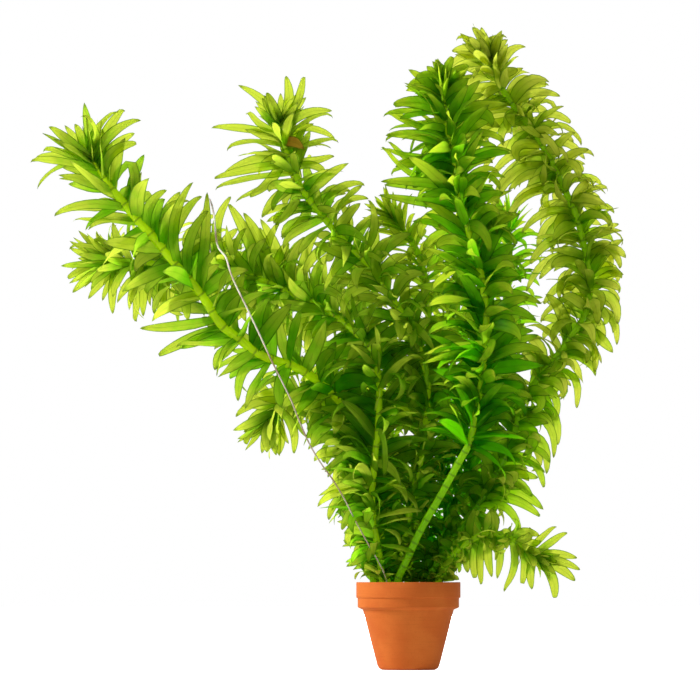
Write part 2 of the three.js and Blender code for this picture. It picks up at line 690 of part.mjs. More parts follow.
addPiece('pot', pot.solid, 0xc85a1e, 0.85);
addPiece('gravel_bed', gravel, 0x5a4a3a, 0.9);
addPiece('water_root', root.solid, 0xd8d2c0, 0.6);

// The outline's leaves come first, so that they stand where they are drawn
const placed = [pot, { solid: gravel, box: pot.box }, root];
const shootSolids = new Map(stems.map((stem) => [stem, stem.solid]));

function grow(stem, fitted) {
  if (fitted) {
    placed.push(fitted);
    shootSolids.set(stem, shootSolids.get(stem).add(fitted.solid));
  }
}

for (const stem of stems) {
  const otherStems = stems.filter((other) => other !== stem);
  for (const leaf of outlineLeaves(stem)) {
    grow(stem, clearLeaf(outlineLeafPath(stem, leaf), leaf.width, [...placed, ...otherStems]));
  }
}

for (const stem of stems) {
  const otherStems = stems.filter((other) => other !== stem);
  const every = stem.shoot.outline ? CARRIED_WHORL_WITH_OUTLINE : CARRIED_WHORL;
  for (const leaf of whorlLeaves(stem.shoot, stem.curve.getLength())) {
    if (leaf.whorl % every === 0 && leaf.place % 2 === 0) {
      grow(stem, fittedLeaf(stem, leaf, [...placed, ...otherStems]));
    }
  }
  addPiece(stem.shoot.name, shootSolids.get(stem), stem.shoot.colour, 0.5);
}

export default waterweed;
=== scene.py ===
# Potted Brazilian waterweed, dressed for the picture: leafy shoots whose thin blades let the
# light through, one pale water root, a small unglazed clay pot and the gravel in it.
import math

import bmesh
import bpy
import numpy as np
from mathutils import Matrix, Vector


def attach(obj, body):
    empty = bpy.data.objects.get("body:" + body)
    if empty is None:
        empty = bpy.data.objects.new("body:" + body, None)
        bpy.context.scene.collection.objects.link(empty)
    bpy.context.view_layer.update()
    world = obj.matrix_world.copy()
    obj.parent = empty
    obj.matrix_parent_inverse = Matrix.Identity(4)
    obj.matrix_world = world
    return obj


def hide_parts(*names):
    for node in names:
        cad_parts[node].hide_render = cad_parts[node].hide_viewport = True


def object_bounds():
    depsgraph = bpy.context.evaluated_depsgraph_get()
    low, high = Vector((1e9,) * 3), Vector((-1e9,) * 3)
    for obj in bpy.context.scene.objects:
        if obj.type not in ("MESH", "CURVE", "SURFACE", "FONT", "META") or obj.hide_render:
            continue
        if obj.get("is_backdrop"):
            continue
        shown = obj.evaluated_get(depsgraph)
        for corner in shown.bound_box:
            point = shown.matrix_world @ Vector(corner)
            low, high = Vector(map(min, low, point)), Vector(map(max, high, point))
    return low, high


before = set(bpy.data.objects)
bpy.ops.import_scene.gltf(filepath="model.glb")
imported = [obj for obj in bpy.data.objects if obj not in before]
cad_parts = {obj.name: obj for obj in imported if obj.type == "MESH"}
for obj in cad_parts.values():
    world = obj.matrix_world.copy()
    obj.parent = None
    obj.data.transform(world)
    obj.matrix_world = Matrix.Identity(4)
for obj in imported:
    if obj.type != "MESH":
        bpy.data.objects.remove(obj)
cad_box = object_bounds()

MM = 0.001

# Corners closer together than this are merged, and edges sharper than this stay sharp
MERGE_REACH = 1e-4
SHARP_ANGLE = math.radians(55)

# The camera, in metres: level with the pot's rim and looking slightly up, as in the picture
CAMERA_PLACE = (-0.028, -2.4, 0.042)
CAMERA_AIM = (-0.028, 0, 0.1535)
VIEW_WIDTH = 0.3366
VIEW_END = 20
SENSOR = 36

# Curves: the steps from one point of a route to the next, and how far to either side of a
# place, in millimetres, its direction is taken
SPAN_STEPS = 24
DIRECTION_REACH = 1.5

# Stems, in millimetres, on the same routes as the solids
STEM_START = 32
STEM_RADIUS = 1.55
STEM_SIDES = 9
STEM_RING_GAP = 6.3
STEM_TAPER = 30
BUD_RADIUS = 0.5
BUD_GAP = 0.2
NODE_SWELL = 0.14

# The rings round a node: each one's distance along the stem and its share of the swelling
NODE_RINGS = ((-0.9, 0.25), (0, 1), (0.9, 0.25), (3, 0))

# Whorls of leaves, by the same rules as on the solids. They crowd together towards the tip.
FIRST_LEAF_HEIGHT = 45
WHORL_LEAVES = 4
WHORL_TURN = math.radians(47)
TIP_GAP = 2.3
TIP_GAP_GROWTH = 0.27
TIP_OPENING = math.radians(24)
LEAF_ROOTING = 0.4

# Leaves that draw the plant's outline: how they lean forwards or back, and hook at the end
OUTLINE_LEAN = 0.4
OUTLINE_LEAN_STEP = 2.4
FADED_LEAN = 1.6
BASE_STEP = 1
HOOK_LENGTH = 5
HOOK_SPARE = HOOK_LENGTH / 3
HOOK_TURNS = (25, 125)
HOOK_STEP = 0.618
PHASE_STEP = 0.37

# A blade, in millimetres or in shares of its half width or length
BLADE_ROWS = 9
BLADE_ROW_CROWDING = 1.35
BLADE_EDGE = 0.99
BLADE_BASE_SHARE = 0.6
BLADE_BROADEST = 0.38
BLADE_TAPER = 2.3
BLADE_BLUNTNESS = 0.8
BLADE_THICKNESS = 0.34
BLADE_THINNING = 0.7
BLADE_FOLD = 0.16
BLADE_WAVE = 0.18
BLADE_WAVES = 1.4

# How leaves vary in length, width, curl and angle, each by its own random numbers
LEAF_CHANCES = 6
PATH_STEPS = 12
HOOKS = (1.1, 3.2)
CURLS = (0.4, 4.2)
LEAST_CURL = 3
MOST_CURL = 165
SWAY = 1.2
ROLL = 1.5
TWIST = 1.5
OPENING_SPREAD = 26
AZIMUTH_SPREAD = 0.5
WHORL_MOOD = 9
SHORTEST = 0.84
LENGTH_SPREAD = 0.32
WIDER = 1.36
WIDTHS = (0.75, 1.15)
TIP_WIDTH = 0.8
WHORL_VARY = 1.6

# Leaves added to a whorl and halfway to the next: how many nodes get them, and how they differ
FILL_NODES = 2
FILL_SEED = 1000
FILL_VARY = 3
FILL_LENGTHS = (0.8, 1.15)

# Leaves at the front of a stem that are parted to its sides, so that the stem shows
PARTED_FRONT = 0.45
PARTED_SPREAD = 1.5

# The foot of a shoot, where leaves start short and narrow
FOOT_WIDTH = 0.5
FOOT_SHARE = 0.4
FOOT_WHORL = 9.5

# Where leaves may be. One that touches the pot or leaves the plant's reach is folded up by an
# angle and shortened to a share of its length, in these steps, until it is clear.
LEAF_TRIES = [(0, 1), (math.radians(15), 1), (math.radians(30), 1), (0, 0.8), (math.radians(30), 0.75)]
REACH_LOW = (-181, -61, 33)
REACH_HIGH = (105.5, 58, 312)
POT_CLEARANCE = 0.5
LEAF_HOLLOW = 21

# Tones from 0, young and bright, to 1, old and dark, and the heights over which painted
# shade, added low in the plant, fades out
AGE_TONE = 0.4
CHANCE_TONE = 0.85
PAINTED_SHADE_HEIGHTS = (70, 160)

# The water root
ROOT_SIDES = 8
ROOT_STEP = 1.6
ROOT_RADII = (0.3, 0.5)
ROOT_UNEVENNESS = 0.12
ROOT_UNEVEN_STEP = 1.7
ROOT_BROWN_HEIGHTS = (110, 200)

# The pot: its foot is worn round and its underside slightly hollow
POT_HEIGHT = 42
RIM_RADIUS = 25
RIM_BAND = 7.5
COLLAR_RADIUS = 24.3
COLLAR_BAND = 4.6
COLLAR_UNDERSIDE = 1.1
NECK_RADIUS = 21.8
FOOT_RADIUS = 14.9
FOOT_ROUND = 2.2
FOOT_WORN = 0.35
FOOT_RING = 0.7
UNDERSIDE_HOLLOW = 0.5
POT_WALL = 2.2
POT_WALL_SLOPE = 0.255
POT_FLOOR = 2.5
POT_SIDES = 96
POT_CREASE = math.radians(20)
POT_EDGE_ROUND = 0.4

# The gravel: a bed that lies a little under its top at the edge, halfway and in the middle,
# and the loose grains on it
GRAVEL_TOP = 39
GRAVEL_GAP = 0.35
GRAVEL_SEED = 7
BED_SIDES = 48
BED_EDGE = 0.4
BED_DROPS = (2.2, 1.4, 1.2)
BED_TONE = 0.1
GRAIN_COUNT = 520
GRAIN_RADIUS = (0.9, 1.5)
GRAIN_SINK = 1.6
GRAIN_RISE = 1.5
GRAIN_TURN = 6
GRAIN_LENGTHS = (0.8, 1.25)
GRAIN_WIDTHS = (0.75, 1.1)
GRAIN_HEIGHT = 0.75
GRAIN_LUMP = 0.1
GRAIN_LUMP_STEPS = (3.1, 4.7, 2.3)
GOLDEN_ANGLE = math.pi * (3 - math.sqrt(5))

# Colours, as they look under white light. A blade has the colours that come through it when
# young and when old, and then those of its skin.
PALE_BLADE = ("#D2E042", "#70D006", "#68B408", "#2C8400")
GREEN_BLADE = ("#CCE030", "#68D004", "#5CB004", "#1C7800")
OLIVE_BLADE = ("#DCE44C", "#8ED008", "#7CAC0C", "#347000")
FADED_BLADE = ("#E8A840", "#D08C30", "#C07C38", "#98581C")
# The darker colour of veins and cell streaks, also used as painted shade along blade margins
VEIN_AND_EDGE_SHADE = "#3E6A10"
# Painted shade at a blade's hooked tip
TIP_PAINTED_SHADE = "#34501A"
YOUNG_STEM = "#CCF008"
OLD_STEM = "#68B400"
NODE_DARK = "#3E6410"
CLAY = "#BC5C1F"
CLAY_PALE = "#C46726"
CLAY_DARK = "#944212"
BROWN_STONE = "#4A3C30"
GREY_STONE = "#8A7A66"
CREAM_STONE = "#C9BFA8"
STONE_FLECK = "#3A312A"
ROOT_PALE = "#E4E0D4"
ROOT_BROWN = "#9A8468"
TABLE_WHITE = "#F4F4F2"
WHITE = (1, 1, 1, 1)

# Shares of the light that come through a leaf and a stem, and how strongly a stem gives off
# a painted glow in its own colour, though it is no lamp
LEAF_THROUGH = 0.95
STEM_THROUGH = 0.6
STEM_PAINTED_GLOW = 0.3

# How often streaks repeat across and along a blade, and how patterns lie level on the pot
STREAK_COUNTS = (16, 5, 1)
LEVEL_STRETCH = (0.05, 0.05, 1)

# The studio, in metres. A light has its name, place, aim, size and power.
SURROUND_FILL = 0.46
TABLE_GLOW = 0.7
TABLE_FILL = 0.14
TABLE_RADIUS = 6
TABLE_SIDES = 96
LIGHTS = [
    ("back_light", (-0.03, 4.0, 0.34), (-0.03, 0, 0.16), 0.5, 52),
    ("back_panel", (0.1, 2.0, 0.5), (-0.03, 0, 0.16), 3.2, 19),
    ("left_light", (-1.6, -0.3, 1.1), (0, 0, 0.1), 0.5, 42),
]

# What every shoot has, unless it says otherwise. Blade is its kind of leaf, and stem its
# stem's radius. Bare is the length of stem without leaves, and open_from the height along it
# above which it gets fill leaves a node and not low_fill, and the share parted of its front
# leaves is turned aside. Leaves reach their full length foot_reach up the stem, and full
# width, curl and opening tip_reach from its tip, where they have tip_share of their length.
# Narrow scales their width, and fill_length the length of the added ones. Tones run from
# young to old, and shade is painted shade added to them low in the plant.
ORDINARY_SHOOT = {
    "blade": "green", "low_fill": 0, "open_from": 0, "parted": 0.4, "fill_length": 0.9,
    "foot_reach": 150, "bare": 0, "narrow": 1, "tip_share": 0.72, "tip_reach": 18,
    "stem": STEM_RADIUS, "stem_tone": 0.5, "tone": 0.4, "shade": 0, "outline": [], "faded": [],
}

# The shoots. Gap is the distance between whorls and fill how many leaves a node is given
# besides. Opening is the angle between stem and leaf, and curl how far a blade bends back, in
# degrees. A route starts in the gravel and ends at the growing tip. An outline leaf is x and z
# on the stem, x and z of its tip, how far it bows upwards and the width that shows.
SHOOTS = [
    {
        "name": "shoot_left_long", "blade": "pale", "seed": 11,
        "gap": 9.4, "fill": 1, "low_fill": 2, "open_from": 118, "parted": 0.8,
        "length": 26, "width": 5.2, "opening": 64, "curl": 20, "tip_share": 1, "tip_reach": 40,
        "stem": 2.1, "stem_tone": 0, "tone": 0.3, "shade": 0.15,
        "route": [
            [-10.5, 2, 32], [-11.7, 2, 52], [-16, 3, 76], [-22.3, 3, 100], [-28, 0, 119.5],
            [-35.2, -6, 131.5], [-52, -17, 143.5], [-70.3, -26, 149.8], [-80.9, -30, 157.5],
            [-89.6, -32, 164.7], [-97.8, -33, 177.2], [-109.8, -33, 191.6], [-121.8, -32, 206],
            [-134.8, -31, 220.9], [-144, -29, 232.5], [-151, -28, 243],
        ],
        "outline": [
            [-148, 242, -179.5, 232, 4, 3], [-148, 239, -178.5, 242.5, 0.5, 4.5],
            [-149, 243, -179, 246, 1, 4.5], [-150, 245, -173.5, 248.5, 0, 4],
            [-151, 249, -170.5, 258.5, 0, 5], [-151, 250, -159.5, 261.5, 0, 4.5],
            [-150, 250, -152, 264.5, 3, 2.5], [-149, 250, -141, 268.5, 3, 2.5],
            [-147, 248, -136.5, 268, 1, 4.5], [-145, 246, -129, 262.5, 3, 5],
            [-144, 240, -131.5, 258, 2, 5.2], [-143, 236, -131, 252, 4, 5.2],
            [-139, 232, -126.5, 225.5, 13, 3.5], [-134, 222, -129, 233, 3, 5],
            [-132, 220, -167.5, 217, 3, 5], [-126, 212, -160.5, 215.5, 0, 2.5],
            [-127, 213, -124.5, 228, 3, 5], [-124, 208, -117.5, 229, 3, 5],
            [-119, 202, -110, 229.5, 2, 5], [-113, 196, -100, 225, 3, 5],
            [-89, 168, -128, 162, -1, 5.2], [-87, 164, -119.5, 150, 1, 5.4],
            [-80, 157.5, -109.5, 154.5, -1, 3.5], [-77, 156, -94, 155.5, 1.5, 4],
            [-68, 149, -92, 144.5, 2, 3.5], [-64, 148, -84, 129.5, 6, 4.5],
            [-98, 178, -92, 195, 2, 5], [-90, 165, -80, 182, 3, 5],
            [-104, 185, -106, 166, 1, 5], [-110, 192, -126, 180, 1, 4],
            [-108, 190, -104.5, 231, 5, 5], [-100, 180, -92, 212, 4, 5],
            [-104, 185, -97, 218, 4, 5], [-100, 180, -95.5, 227, -1, 5],
        ],
    },
    {
        "name": "shoot_left_outer", "blade": "pale", "seed": 23,
        "gap": 7.8, "fill": 5, "low_fill": 5, "open_from": 45, "parted": 0.45,
        "fill_length": 1.2, "foot_reach": 80,
        "length": 23, "width": 4.4, "narrow": 0.88, "opening": 66, "curl": 44, "tip_share": 0.95,
        "stem_tone": 0.3, "tone": 0.2,
        "route": [
            [-12, -8, 32], [-13.6, -9, 52], [-17.5, -12, 76], [-16.5, -14, 97], [-14.6, -14, 115],
            [-14.1, -11, 136], [-16.5, -5, 150.7], [-22.3, 2, 159], [-30.4, 9, 166.6],
            [-42.5, 16, 175.7], [-54.5, 21, 181], [-68.9, 25, 188], [-80.9, 28, 193],
            [-95.3, 30, 196.5], [-112.2, 31, 197], [-129, 30, 197.4], [-145, 29, 198],
        ],
        "outline": [
            [-143, 198, -165.5, 204.5, -1, 4.2], [-141, 198, -163.5, 206.5, 2, 3],
            [-144, 198, -165, 196.5, 1, 3], [-145, 198, -165.5, 190.5, 1, 4.4],
            [-142, 197.5, -163, 183.5, 1, 5], [-138, 197.5, -157, 180.5, 1, 4.4],
            [-139, 198, -152, 210, 2, 3], [-141, 197.5, -144.5, 172.5, 1, 4.6],
            [-136, 197.5, -132.5, 169, 2, 2.6], [-125, 197, -129, 172, 1, 5],
            [-122, 197, -124, 172.5, -1, 3], [-117, 196, -119, 175, 1, 4.6],
            [-98, 195, -94, 173, 1, 5], [-89, 193, -83.5, 169, 3, 5],
            [-105, 196, -98, 217, 2, 5], [-92, 194, -84, 216, 2, 5],
            [-80, 190, -70, 209, 3, 4.6], [-70, 185.5, -71, 161, -3, 4.6],
            [-62, 182, -59, 159, 2, 4],
            [-86, 194, -88, 229, -6, 5], [-74, 190, -70, 215, -3, 5], [-62, 185, -59, 208, 3, 5],
            [-49, 179, -45, 211, 4, 5],
            [-15, 112, -36, 107, 2, 4], [-16, 104, -39, 97, 3, 4], [-17, 95, -36, 84, 3, 4],
            [-17.5, 88, -35.5, 75, 4, 5], [-17.5, 78, -33, 69, 3, 4.4],
            [-80, 192, -77, 218, -3, 5], [-68, 188, -64, 217, 3, 4], [-56, 182, -52, 209, 3, 5],
            [-44, 176, -38, 205, 4, 5], [-72, 190, -86, 225, 2, 6], [-66, 187, -79, 222, 2, 6],
            [-60, 184, -71, 220, 2, 6],
        ],
    },
    {
        "name": "shoot_left_drooping", "blade": "pale", "seed": 37,
        "gap": 7.4, "fill": 3, "foot_reach": 170,
        "length": 22, "width": 4.6, "opening": 60, "curl": 34, "tip_share": 0.85,
        "tone": 0.15,
        "route": [
            [-17, -3, 32], [-17.5, -3, 52], [-22.3, -3, 76], [-27.1, -3, 100], [-33.8, -1, 119.5],
            [-43.4, 3, 130], [-53, 6, 132.5], [-61.7, 8, 128], [-67, 9, 119.5],
        ],
        "outline": [
            [-52, 133, -82, 127.5, 3, 5], [-60, 129, -83, 123.5, 2, 4.4],
            [-64, 126, -81, 115.5, 2, 4], [-66, 123, -79.5, 109.5, 2, 4],
            [-67, 120, -69, 105, 1, 3.6], [-66, 121, -60, 103.5, 2, 4.4],
            [-63, 126, -53.5, 105, 3, 4.4], [-54, 132, -44.5, 110, 3, 4.6],
            [-40, 127, -51, 141, 2, 4.4], [-24, 84, -40, 74, 3, 4],
        ],
    },
    {
        "name": "shoot_upper_left", "blade": "pale", "seed": 41,
        "gap": 8.6, "fill": 3, "low_fill": 4, "open_from": 185, "parted": 0.7, "fill_length": 1.1,
        "length": 22, "width": 4.4, "opening": 62, "curl": 32,
        "stem_tone": 0.3, "tone": 0.15, "shade": 0.2,
        "route": [
            [-5, 1, 32], [-4, 0, 52], [1.8, -2, 81], [7.5, -3, 110], [9.5, -4, 136], [7.1, -5, 147.4],
            [3.7, -5, 158], [-1.6, -6, 168.5], [-8.8, -7, 179.6], [-17.5, -8, 192.6],
            [-25.6, -9, 200.3], [-35.2, -10, 210], [-44.9, -10, 222], [-50.6, -10, 229],
            [-55.4, -10, 241], [-59.8, -9, 251.7], [-61, -9, 262],
        ],
        "outline": [
            [-61, 258, -81, 283, 3, 4.6], [-61, 262, -67.5, 275.5, 0, 5],
            [-61, 262, -57.5, 286.5, -2, 5], [-60.5, 262, -49.5, 284, -2, 3],
            [-60, 258, -37.5, 269.5, 3, 4.6], [-60, 255, -34, 258, 4, 4],
            [-60, 254, -37.5, 267, 2, 2.6], [-61, 256, -95, 261.5, 1, 4.2],
            [-61, 258, -77.5, 267.5, -2, 3], [-60, 250, -87, 251, 2, 3],
            [-59, 246, -90, 239.5, 2, 5], [-57, 242, -92.5, 235.5, 1, 4.6],
            [-55, 237, -93, 231.5, 1, 3.4], [-54, 235, -84, 226, 1, 3.4],
            [-58, 250, -34.5, 254, 0, 3], [-56, 243, -35, 246.5, -1, 4.2],
            [-54, 240, -40, 240.5, 2, 4.2], [-51, 231, -40.5, 223, 3, 4.4],
            [-52, 232, -72, 218, 2, 5], [-41, 217, -22.5, 234.5, 5, 4],
            [-38, 213, -20, 229, 4, 4.2], [-30, 205, -30.5, 223, 2, 4.4],
            [-22, 197.5, -16.5, 224, -3, 3], [-19, 195, -15, 214.5, -1, 5],
            [-58, 250, -75, 226, -3, 5], [-53, 236, -62, 212, -3, 5], [-48, 226, -60, 206, -3, 5],
        ],
        "faded": [[-61, 252, -50, 250.5, 1, 5.5]],
    },
    {
        "name": "shoot_centre", "seed": 53,
        "gap": 8.2, "fill": 5, "low_fill": 6, "open_from": 150,
        "length": 20, "width": 3.8, "narrow": 0.6, "opening": 60, "curl": 60,
        "tone": 0.1,
        "route": [
            [0, 6.5, 32], [0.8, 7, 52], [4.7, 8, 81], [9, 9, 110], [11.4, 9, 138.7], [10.4, 9, 162.8],
            [9, 8, 182], [5.6, 7, 198.8], [-1, 5, 210], [-7.5, 4, 218],
        ],
    },
    {
        "name": "shoot_tall_front", "seed": 61,
        "gap": 8.8, "fill": 6, "parted": 0.55, "fill_length": 1.2, "bare": 73,
        "length": 23, "width": 4.6, "opening": 58, "curl": 34, "tip_share": 0.5,
        "stem": 1.65, "stem_tone": 0.35, "tone": 0.45, "shade": 0.45,
        "route": [
            [-7, -12.5, 32], [-5, -13.5, 43.5], [-1.6, -16, 51], [5.6, -20, 66.6], [15.2, -25, 83.4],
            [23.9, -29, 99.3], [28.7, -31, 108.4], [31.6, -33, 122], [34.5, -35, 138.7],
            [36.4, -36, 158], [35.9, -36, 174.8], [33.5, -35, 190.6], [29.7, -33, 203.6],
            [25.8, -30, 219.5], [22, -25, 242], [18.6, -21, 259], [17.2, -18, 273],
            [18.4, -16.5, 280],
        ],
        "outline": [
            [18.5, 278, 13, 293, 0, 5], [19, 277, 4, 285.5, 3, 4], [18, 277, -1, 283, 3, 4.4],
            [17.5, 270, -6.5, 270.5, 2, 5], [18, 265, -12, 266, 1, 3.4], [19, 260, -10, 260, 1, 3],
            [20, 254, -11, 254, 2, 3.4], [21.5, 247, -13.5, 248.5, -3, 3], [23, 238, -9, 238.5, 3, 3.6],
            [25, 229, -12.5, 232, 1, 5], [27, 219, -15, 227.5, 0, 4.4],
            [19, 278, 20, 293, 1, 4.6], [19, 276, 27, 291, 2, 4.6],
            [35.5, 178, 64, 175.5, 2, 4.6], [36, 168, 59.5, 167.5, 3, 5],
            [32, 196, 49, 183, 3, 4.6], [29, 207, 52, 204, 4, 4.6], [26, 222, 44, 209, 4, 4.4],
            [17.5, 270, 1, 284, 3, 5], [18, 264, -6.5, 271, 3, 6.5], [18.5, 257, -11, 266, -2, 3],
            [19, 254, -8, 268, -2, 3], [20, 249, -10, 255, 2, 5.5], [22, 240, -11, 252, -5, 3],
            [24, 233, -13, 248, -6, 3], [24, 236, 1, 232, 4, 8], [26, 226, -12, 233, 2, 6],
            [21, 246, 3, 238, 3, 6],
        ],
    },
    {
        "name": "shoot_great_arch", "blade": "olive", "seed": 71,
        "gap": 8.4, "fill": 4, "low_fill": 8, "open_from": 70,
        "length": 23, "width": 4.2, "opening": 64, "curl": 78,
        "stem_tone": 0.6, "tone": 0.15, "shade": 0.45,
        "route": [
            [7, 1.5, 32], [11.4, 1, 47.4], [22.5, 1, 64.2], [33.5, 0, 78.6], [40.2, 0, 90.6],
            [45.1, 0, 99.3], [49.9, 0, 110], [53.2, 0, 122], [56.6, 1, 132], [64.3, 1, 141.6],
            [71, 2, 149.8], [77.7, 3, 159], [84, 4, 168.5], [87.4, 4, 179.6], [86.9, 5, 192.6],
            [84.5, 6, 206], [81.1, 6, 219], [76.3, 6, 230], [71, 6, 241], [66.7, 6, 249.3],
            [61.9, 6, 257.5], [54.7, 6, 267], [47.5, 5, 276.7], [41.7, 5, 287.8], [38.3, 4, 295.5],
        ],
        "outline": [
            [38, 295, 35.5, 310.8, 0, 4.4], [38, 293, 32.5, 309, 1, 5], [35.5, 295, 21, 301, 2, 5],
            [36, 300, 24.5, 306.5, 2, 3], [36, 297, 45, 308.5, 3, 2.6], [40, 291, 50.5, 292.5, 10, 4],
            [37.5, 297, 44, 299, 3, 4.2], [44, 283, 52.5, 291.5, 1, 5],
            [48, 276, 67, 283.5, 2, 5], [51, 272, 72.5, 278, 3, 4.4], [56, 265, 67, 273.5, 3, 5],
            [60, 260, 78.5, 266, 5, 4.2], [63, 256, 86, 256.5, 6, 3], [67, 249.5, 87.5, 250, 5, 4.2],
            [72, 240, 85.5, 251.5, 2, 4.2], [76, 231, 92, 230, 7, 4.4], [79, 224, 96, 234, 2, 3],
            [81, 219, 93, 225, 4, 5], [85, 206, 102.5, 216.5, 1, 4.2], [86, 202, 104, 195.5, 5, 3.6],
            [87, 195, 100.5, 205.5, 2, 3], [87.5, 184, 103, 178, 3, 3], [87.5, 180, 103, 168, 5, 5],
            [86, 174, 104, 157.5, 5, 4.2], [85.5, 171, 95, 159, 2, 5], [78, 159, 92.5, 143.5, 5, 4.2],
            [73, 152, 93, 146, 5, 4.2], [66, 144, 83, 127, 7, 3], [60, 136, 74.5, 120.5, 5, 4.2],
            [57, 131, 73.5, 108.5, 6, 4.2], [54, 124, 72, 103, 6, 4.2], [51, 114, 70, 95, 6, 5],
            [46.5, 103, 66.5, 89, 5, 4.2], [42, 93, 62.5, 93, 1, 5], [38, 87, 66.5, 78.5, 3, 6],
            [33, 78, 55, 69, 5, 4.4],
            [49, 274, 27.5, 261.5, 6, 4], [53, 269, 26, 254, 7, 4], [58, 262, 27, 254, 5, 4],
            [64, 253, 33.5, 242, 6, 4], [67, 248, 38, 236, 6, 4.2], [71, 240, 42, 233, 5, 3.6],
            [76, 230, 46.5, 218, 6, 4.2], [80, 220, 54, 212, 4, 4.2], [86, 198, 55, 184.5, 7, 4.2],
            [87, 186, 64.5, 177.5, 4, 4.2], [87, 180, 62, 169, 3, 3],
            [37, 294, 17, 292, 3, 4.4], [38, 290, 16, 284, 4, 4.4], [42, 284, 22, 276, 4, 4.4],
            [57, 264, 28, 246, 6, 6], [70, 242, 39, 224, 7, 6], [66, 249, 40, 229, 5, 3],
            [36, 82, 63, 75, 3, 5], [40, 90, 61, 85, 3, 5], [76, 230, 51, 227, 4, 5],
            [74, 235, 48, 233, 5, 5], [82, 216, 60, 206, 5, 5], [84, 207, 58, 197, 5, 5],
            [86, 198, 62, 190, 4, 5],
        ],
    },
    {
        "name": "shoot_low_right", "blade": "pale", "seed": 83,
        "gap": 6, "fill": 3, "parted": 0,
        "length": 17, "width": 3.8, "opening": 64, "curl": 46,
        "tone": 0.2,
        "route": [
            [11, -7, 32], [15.2, -8, 45], [21, -11, 54.6], [29.7, -14, 61.8], [39.3, -17, 65.1],
            [47.9, -19, 63.2], [55.6, -20, 58], [62, -21, 53],
        ],
        "outline": [
            [60, 55, 81, 54.5, 1, 4.4], [61, 53, 80.5, 49, 1, 4.2], [61, 53, 80.5, 43, 1, 5],
            [61, 52.5, 70.5, 35, 2, 5], [61, 52, 64, 33.5, 1, 5], [60, 54, 57.5, 38, 1, 4.2],
            [59, 55, 74, 65.5, 0, 3.6], [57, 57, 70, 69.5, 0, 2.6], [54, 59, 54.5, 41, 1, 3.6],
            [48, 63, 46.5, 38, -3, 3.4], [42, 65, 43, 43, 1, 3.4], [36, 64, 34, 41.5, 1, 3],
            [50, 62, 62, 67, 2, 4], [38, 65, 40, 79, 1, 4], [30, 62, 30, 76, 1, 4],
            [30, 62, 27, 46, 1, 4.4], [33, 63, 31, 44, 1, 4.4], [39, 65, 38.5, 45, 1, 4.4],
        ],
    },
    {
        "name": "shoot_back_centre", "seed": 97,
        "gap": 8.6, "fill": 4, "low_fill": 14, "open_from": 80,
        "length": 21, "width": 3.8, "narrow": 0.6, "opening": 62, "curl": 70,
        "tone": 0.5, "shade": 0.7,
        "route": [
            [3, 14, 32], [4, 15.5, 52], [9, 19, 80], [16, 25, 110], [21, 30, 140], [24, 35, 168],
            [24, 39, 192], [21, 41, 212],
        ],
    },
    {
        "name": "shoot_back_left", "seed": 103,
        "gap": 8.2, "fill": 3, "low_fill": 7, "open_from": 80,
        "length": 20, "width": 3.8, "narrow": 0.6, "opening": 62, "curl": 70,
        "tone": 0.15,
        "route": [
            [-7.5, 11.5, 32], [-9, 14, 55], [-10, 20, 85], [-8, 27, 115], [-9, 34, 145],
            [-15, 40, 170], [-24, 45, 192],
        ],
    },
    {
        "name": "shoot_back_right", "seed": 113,
        "gap": 8.6, "fill": 4, "low_fill": 14, "open_from": 80,
        "length": 21, "width": 3.8, "narrow": 0.6, "opening": 62, "curl": 70,
        "tone": 0.6, "shade": 0.7,
        "route": [
            [11, 10, 32], [14, 12, 52], [22, 18, 78], [32, 26, 106], [40, 33, 136], [46, 38, 166],
            [50, 42, 196], [50, 44, 220],
        ],
        "outline": [
            [50, 219, 35, 203, 3, 6], [50, 214, 37, 195, 3, 5], [50, 220, 31, 214, 3, 5],
        ],
    },
]

# The water root rises in front of the plant and ends on the outer left shoot's stem
ROOT_ROUTE = [
    [-10.5, -15.5, 32], [-10.5, -15.5, 42], [-13.5, -17, 50], [-18.9, -20, 59.4],
    [-25.6, -24, 71.4], [-30.4, -27, 81], [-36.2, -30, 90.6], [-41.5, -33, 97.8],
    [-47.3, -36, 107.5], [-52.1, -39, 118.5], [-55.9, -41, 128], [-60.7, -43, 137.8],
    [-65.5, -45, 147.4], [-69.9, -46, 157], [-77.6, -46, 173.3], [-81.9, -46, 182],
    [-84.8, -45, 189.2], [-86.7, -43, 195.4], [-90.1, -40, 199.8], [-91.5, -36, 205],
    [-92.5, -30, 214.7], [-94, -20, 222], [-95.8, -8, 225.5], [-97, 6, 220],
    [-96.5, 20, 208], [-95, 28.6, 197],
]


# Curves along the stems, in millimetres

class Curve:
    """A smooth line through a route's points, with places on it by the length from its start."""

    def __init__(self, route):
        points = np.array(route, float)
        knots = np.vstack([2 * points[0] - points[1], points, 2 * points[-1] - points[-2]])
        share = np.linspace(0, 1, SPAN_STEPS, endpoint=False)[:, None]
        spans = []
        for before, start, end, after in zip(knots, knots[1:], knots[2:], knots[3:]):
            leave = (end - before) / 2
            arrive = (after - start) / 2
            square = 3 * (end - start) - 2 * leave - arrive
            cube = 2 * (start - end) + leave + arrive
            spans.append(start + leave * share + square * share ** 2 + cube * share ** 3)
        self.points = np.vstack([*spans, points[-1]])
        steps = np.linalg.norm(np.diff(self.points, axis=0), axis=1)
        self.marks = np.concatenate([[0], np.cumsum(steps)])
        self.length = self.marks[-1]

    def at(self, along):
        return np.array([np.interp(along, self.marks, self.points[:, i]) for i in range(3)])

    def direction(self, along):
        ahead = self.at(min(along + DIRECTION_REACH, self.length))
        return unit(ahead - self.at(max(along - DIRECTION_REACH, 0)))


def unit(vector):
    return vector / np.linalg.norm(vector)


def lerp(start, end, share):
    return start + (end - start) * share


def random_source(seed):
    """Steady pseudo-random numbers, so that the plant grows the same way every time."""
    factor, prime = 16807, 2147483647
    state = seed
    while True:
        state = state * factor % prime
        yield state / prime


# Blades. A path gives, at each share of a leaf's length, the middle of the blade, the
# direction of its width and that of its upper face.

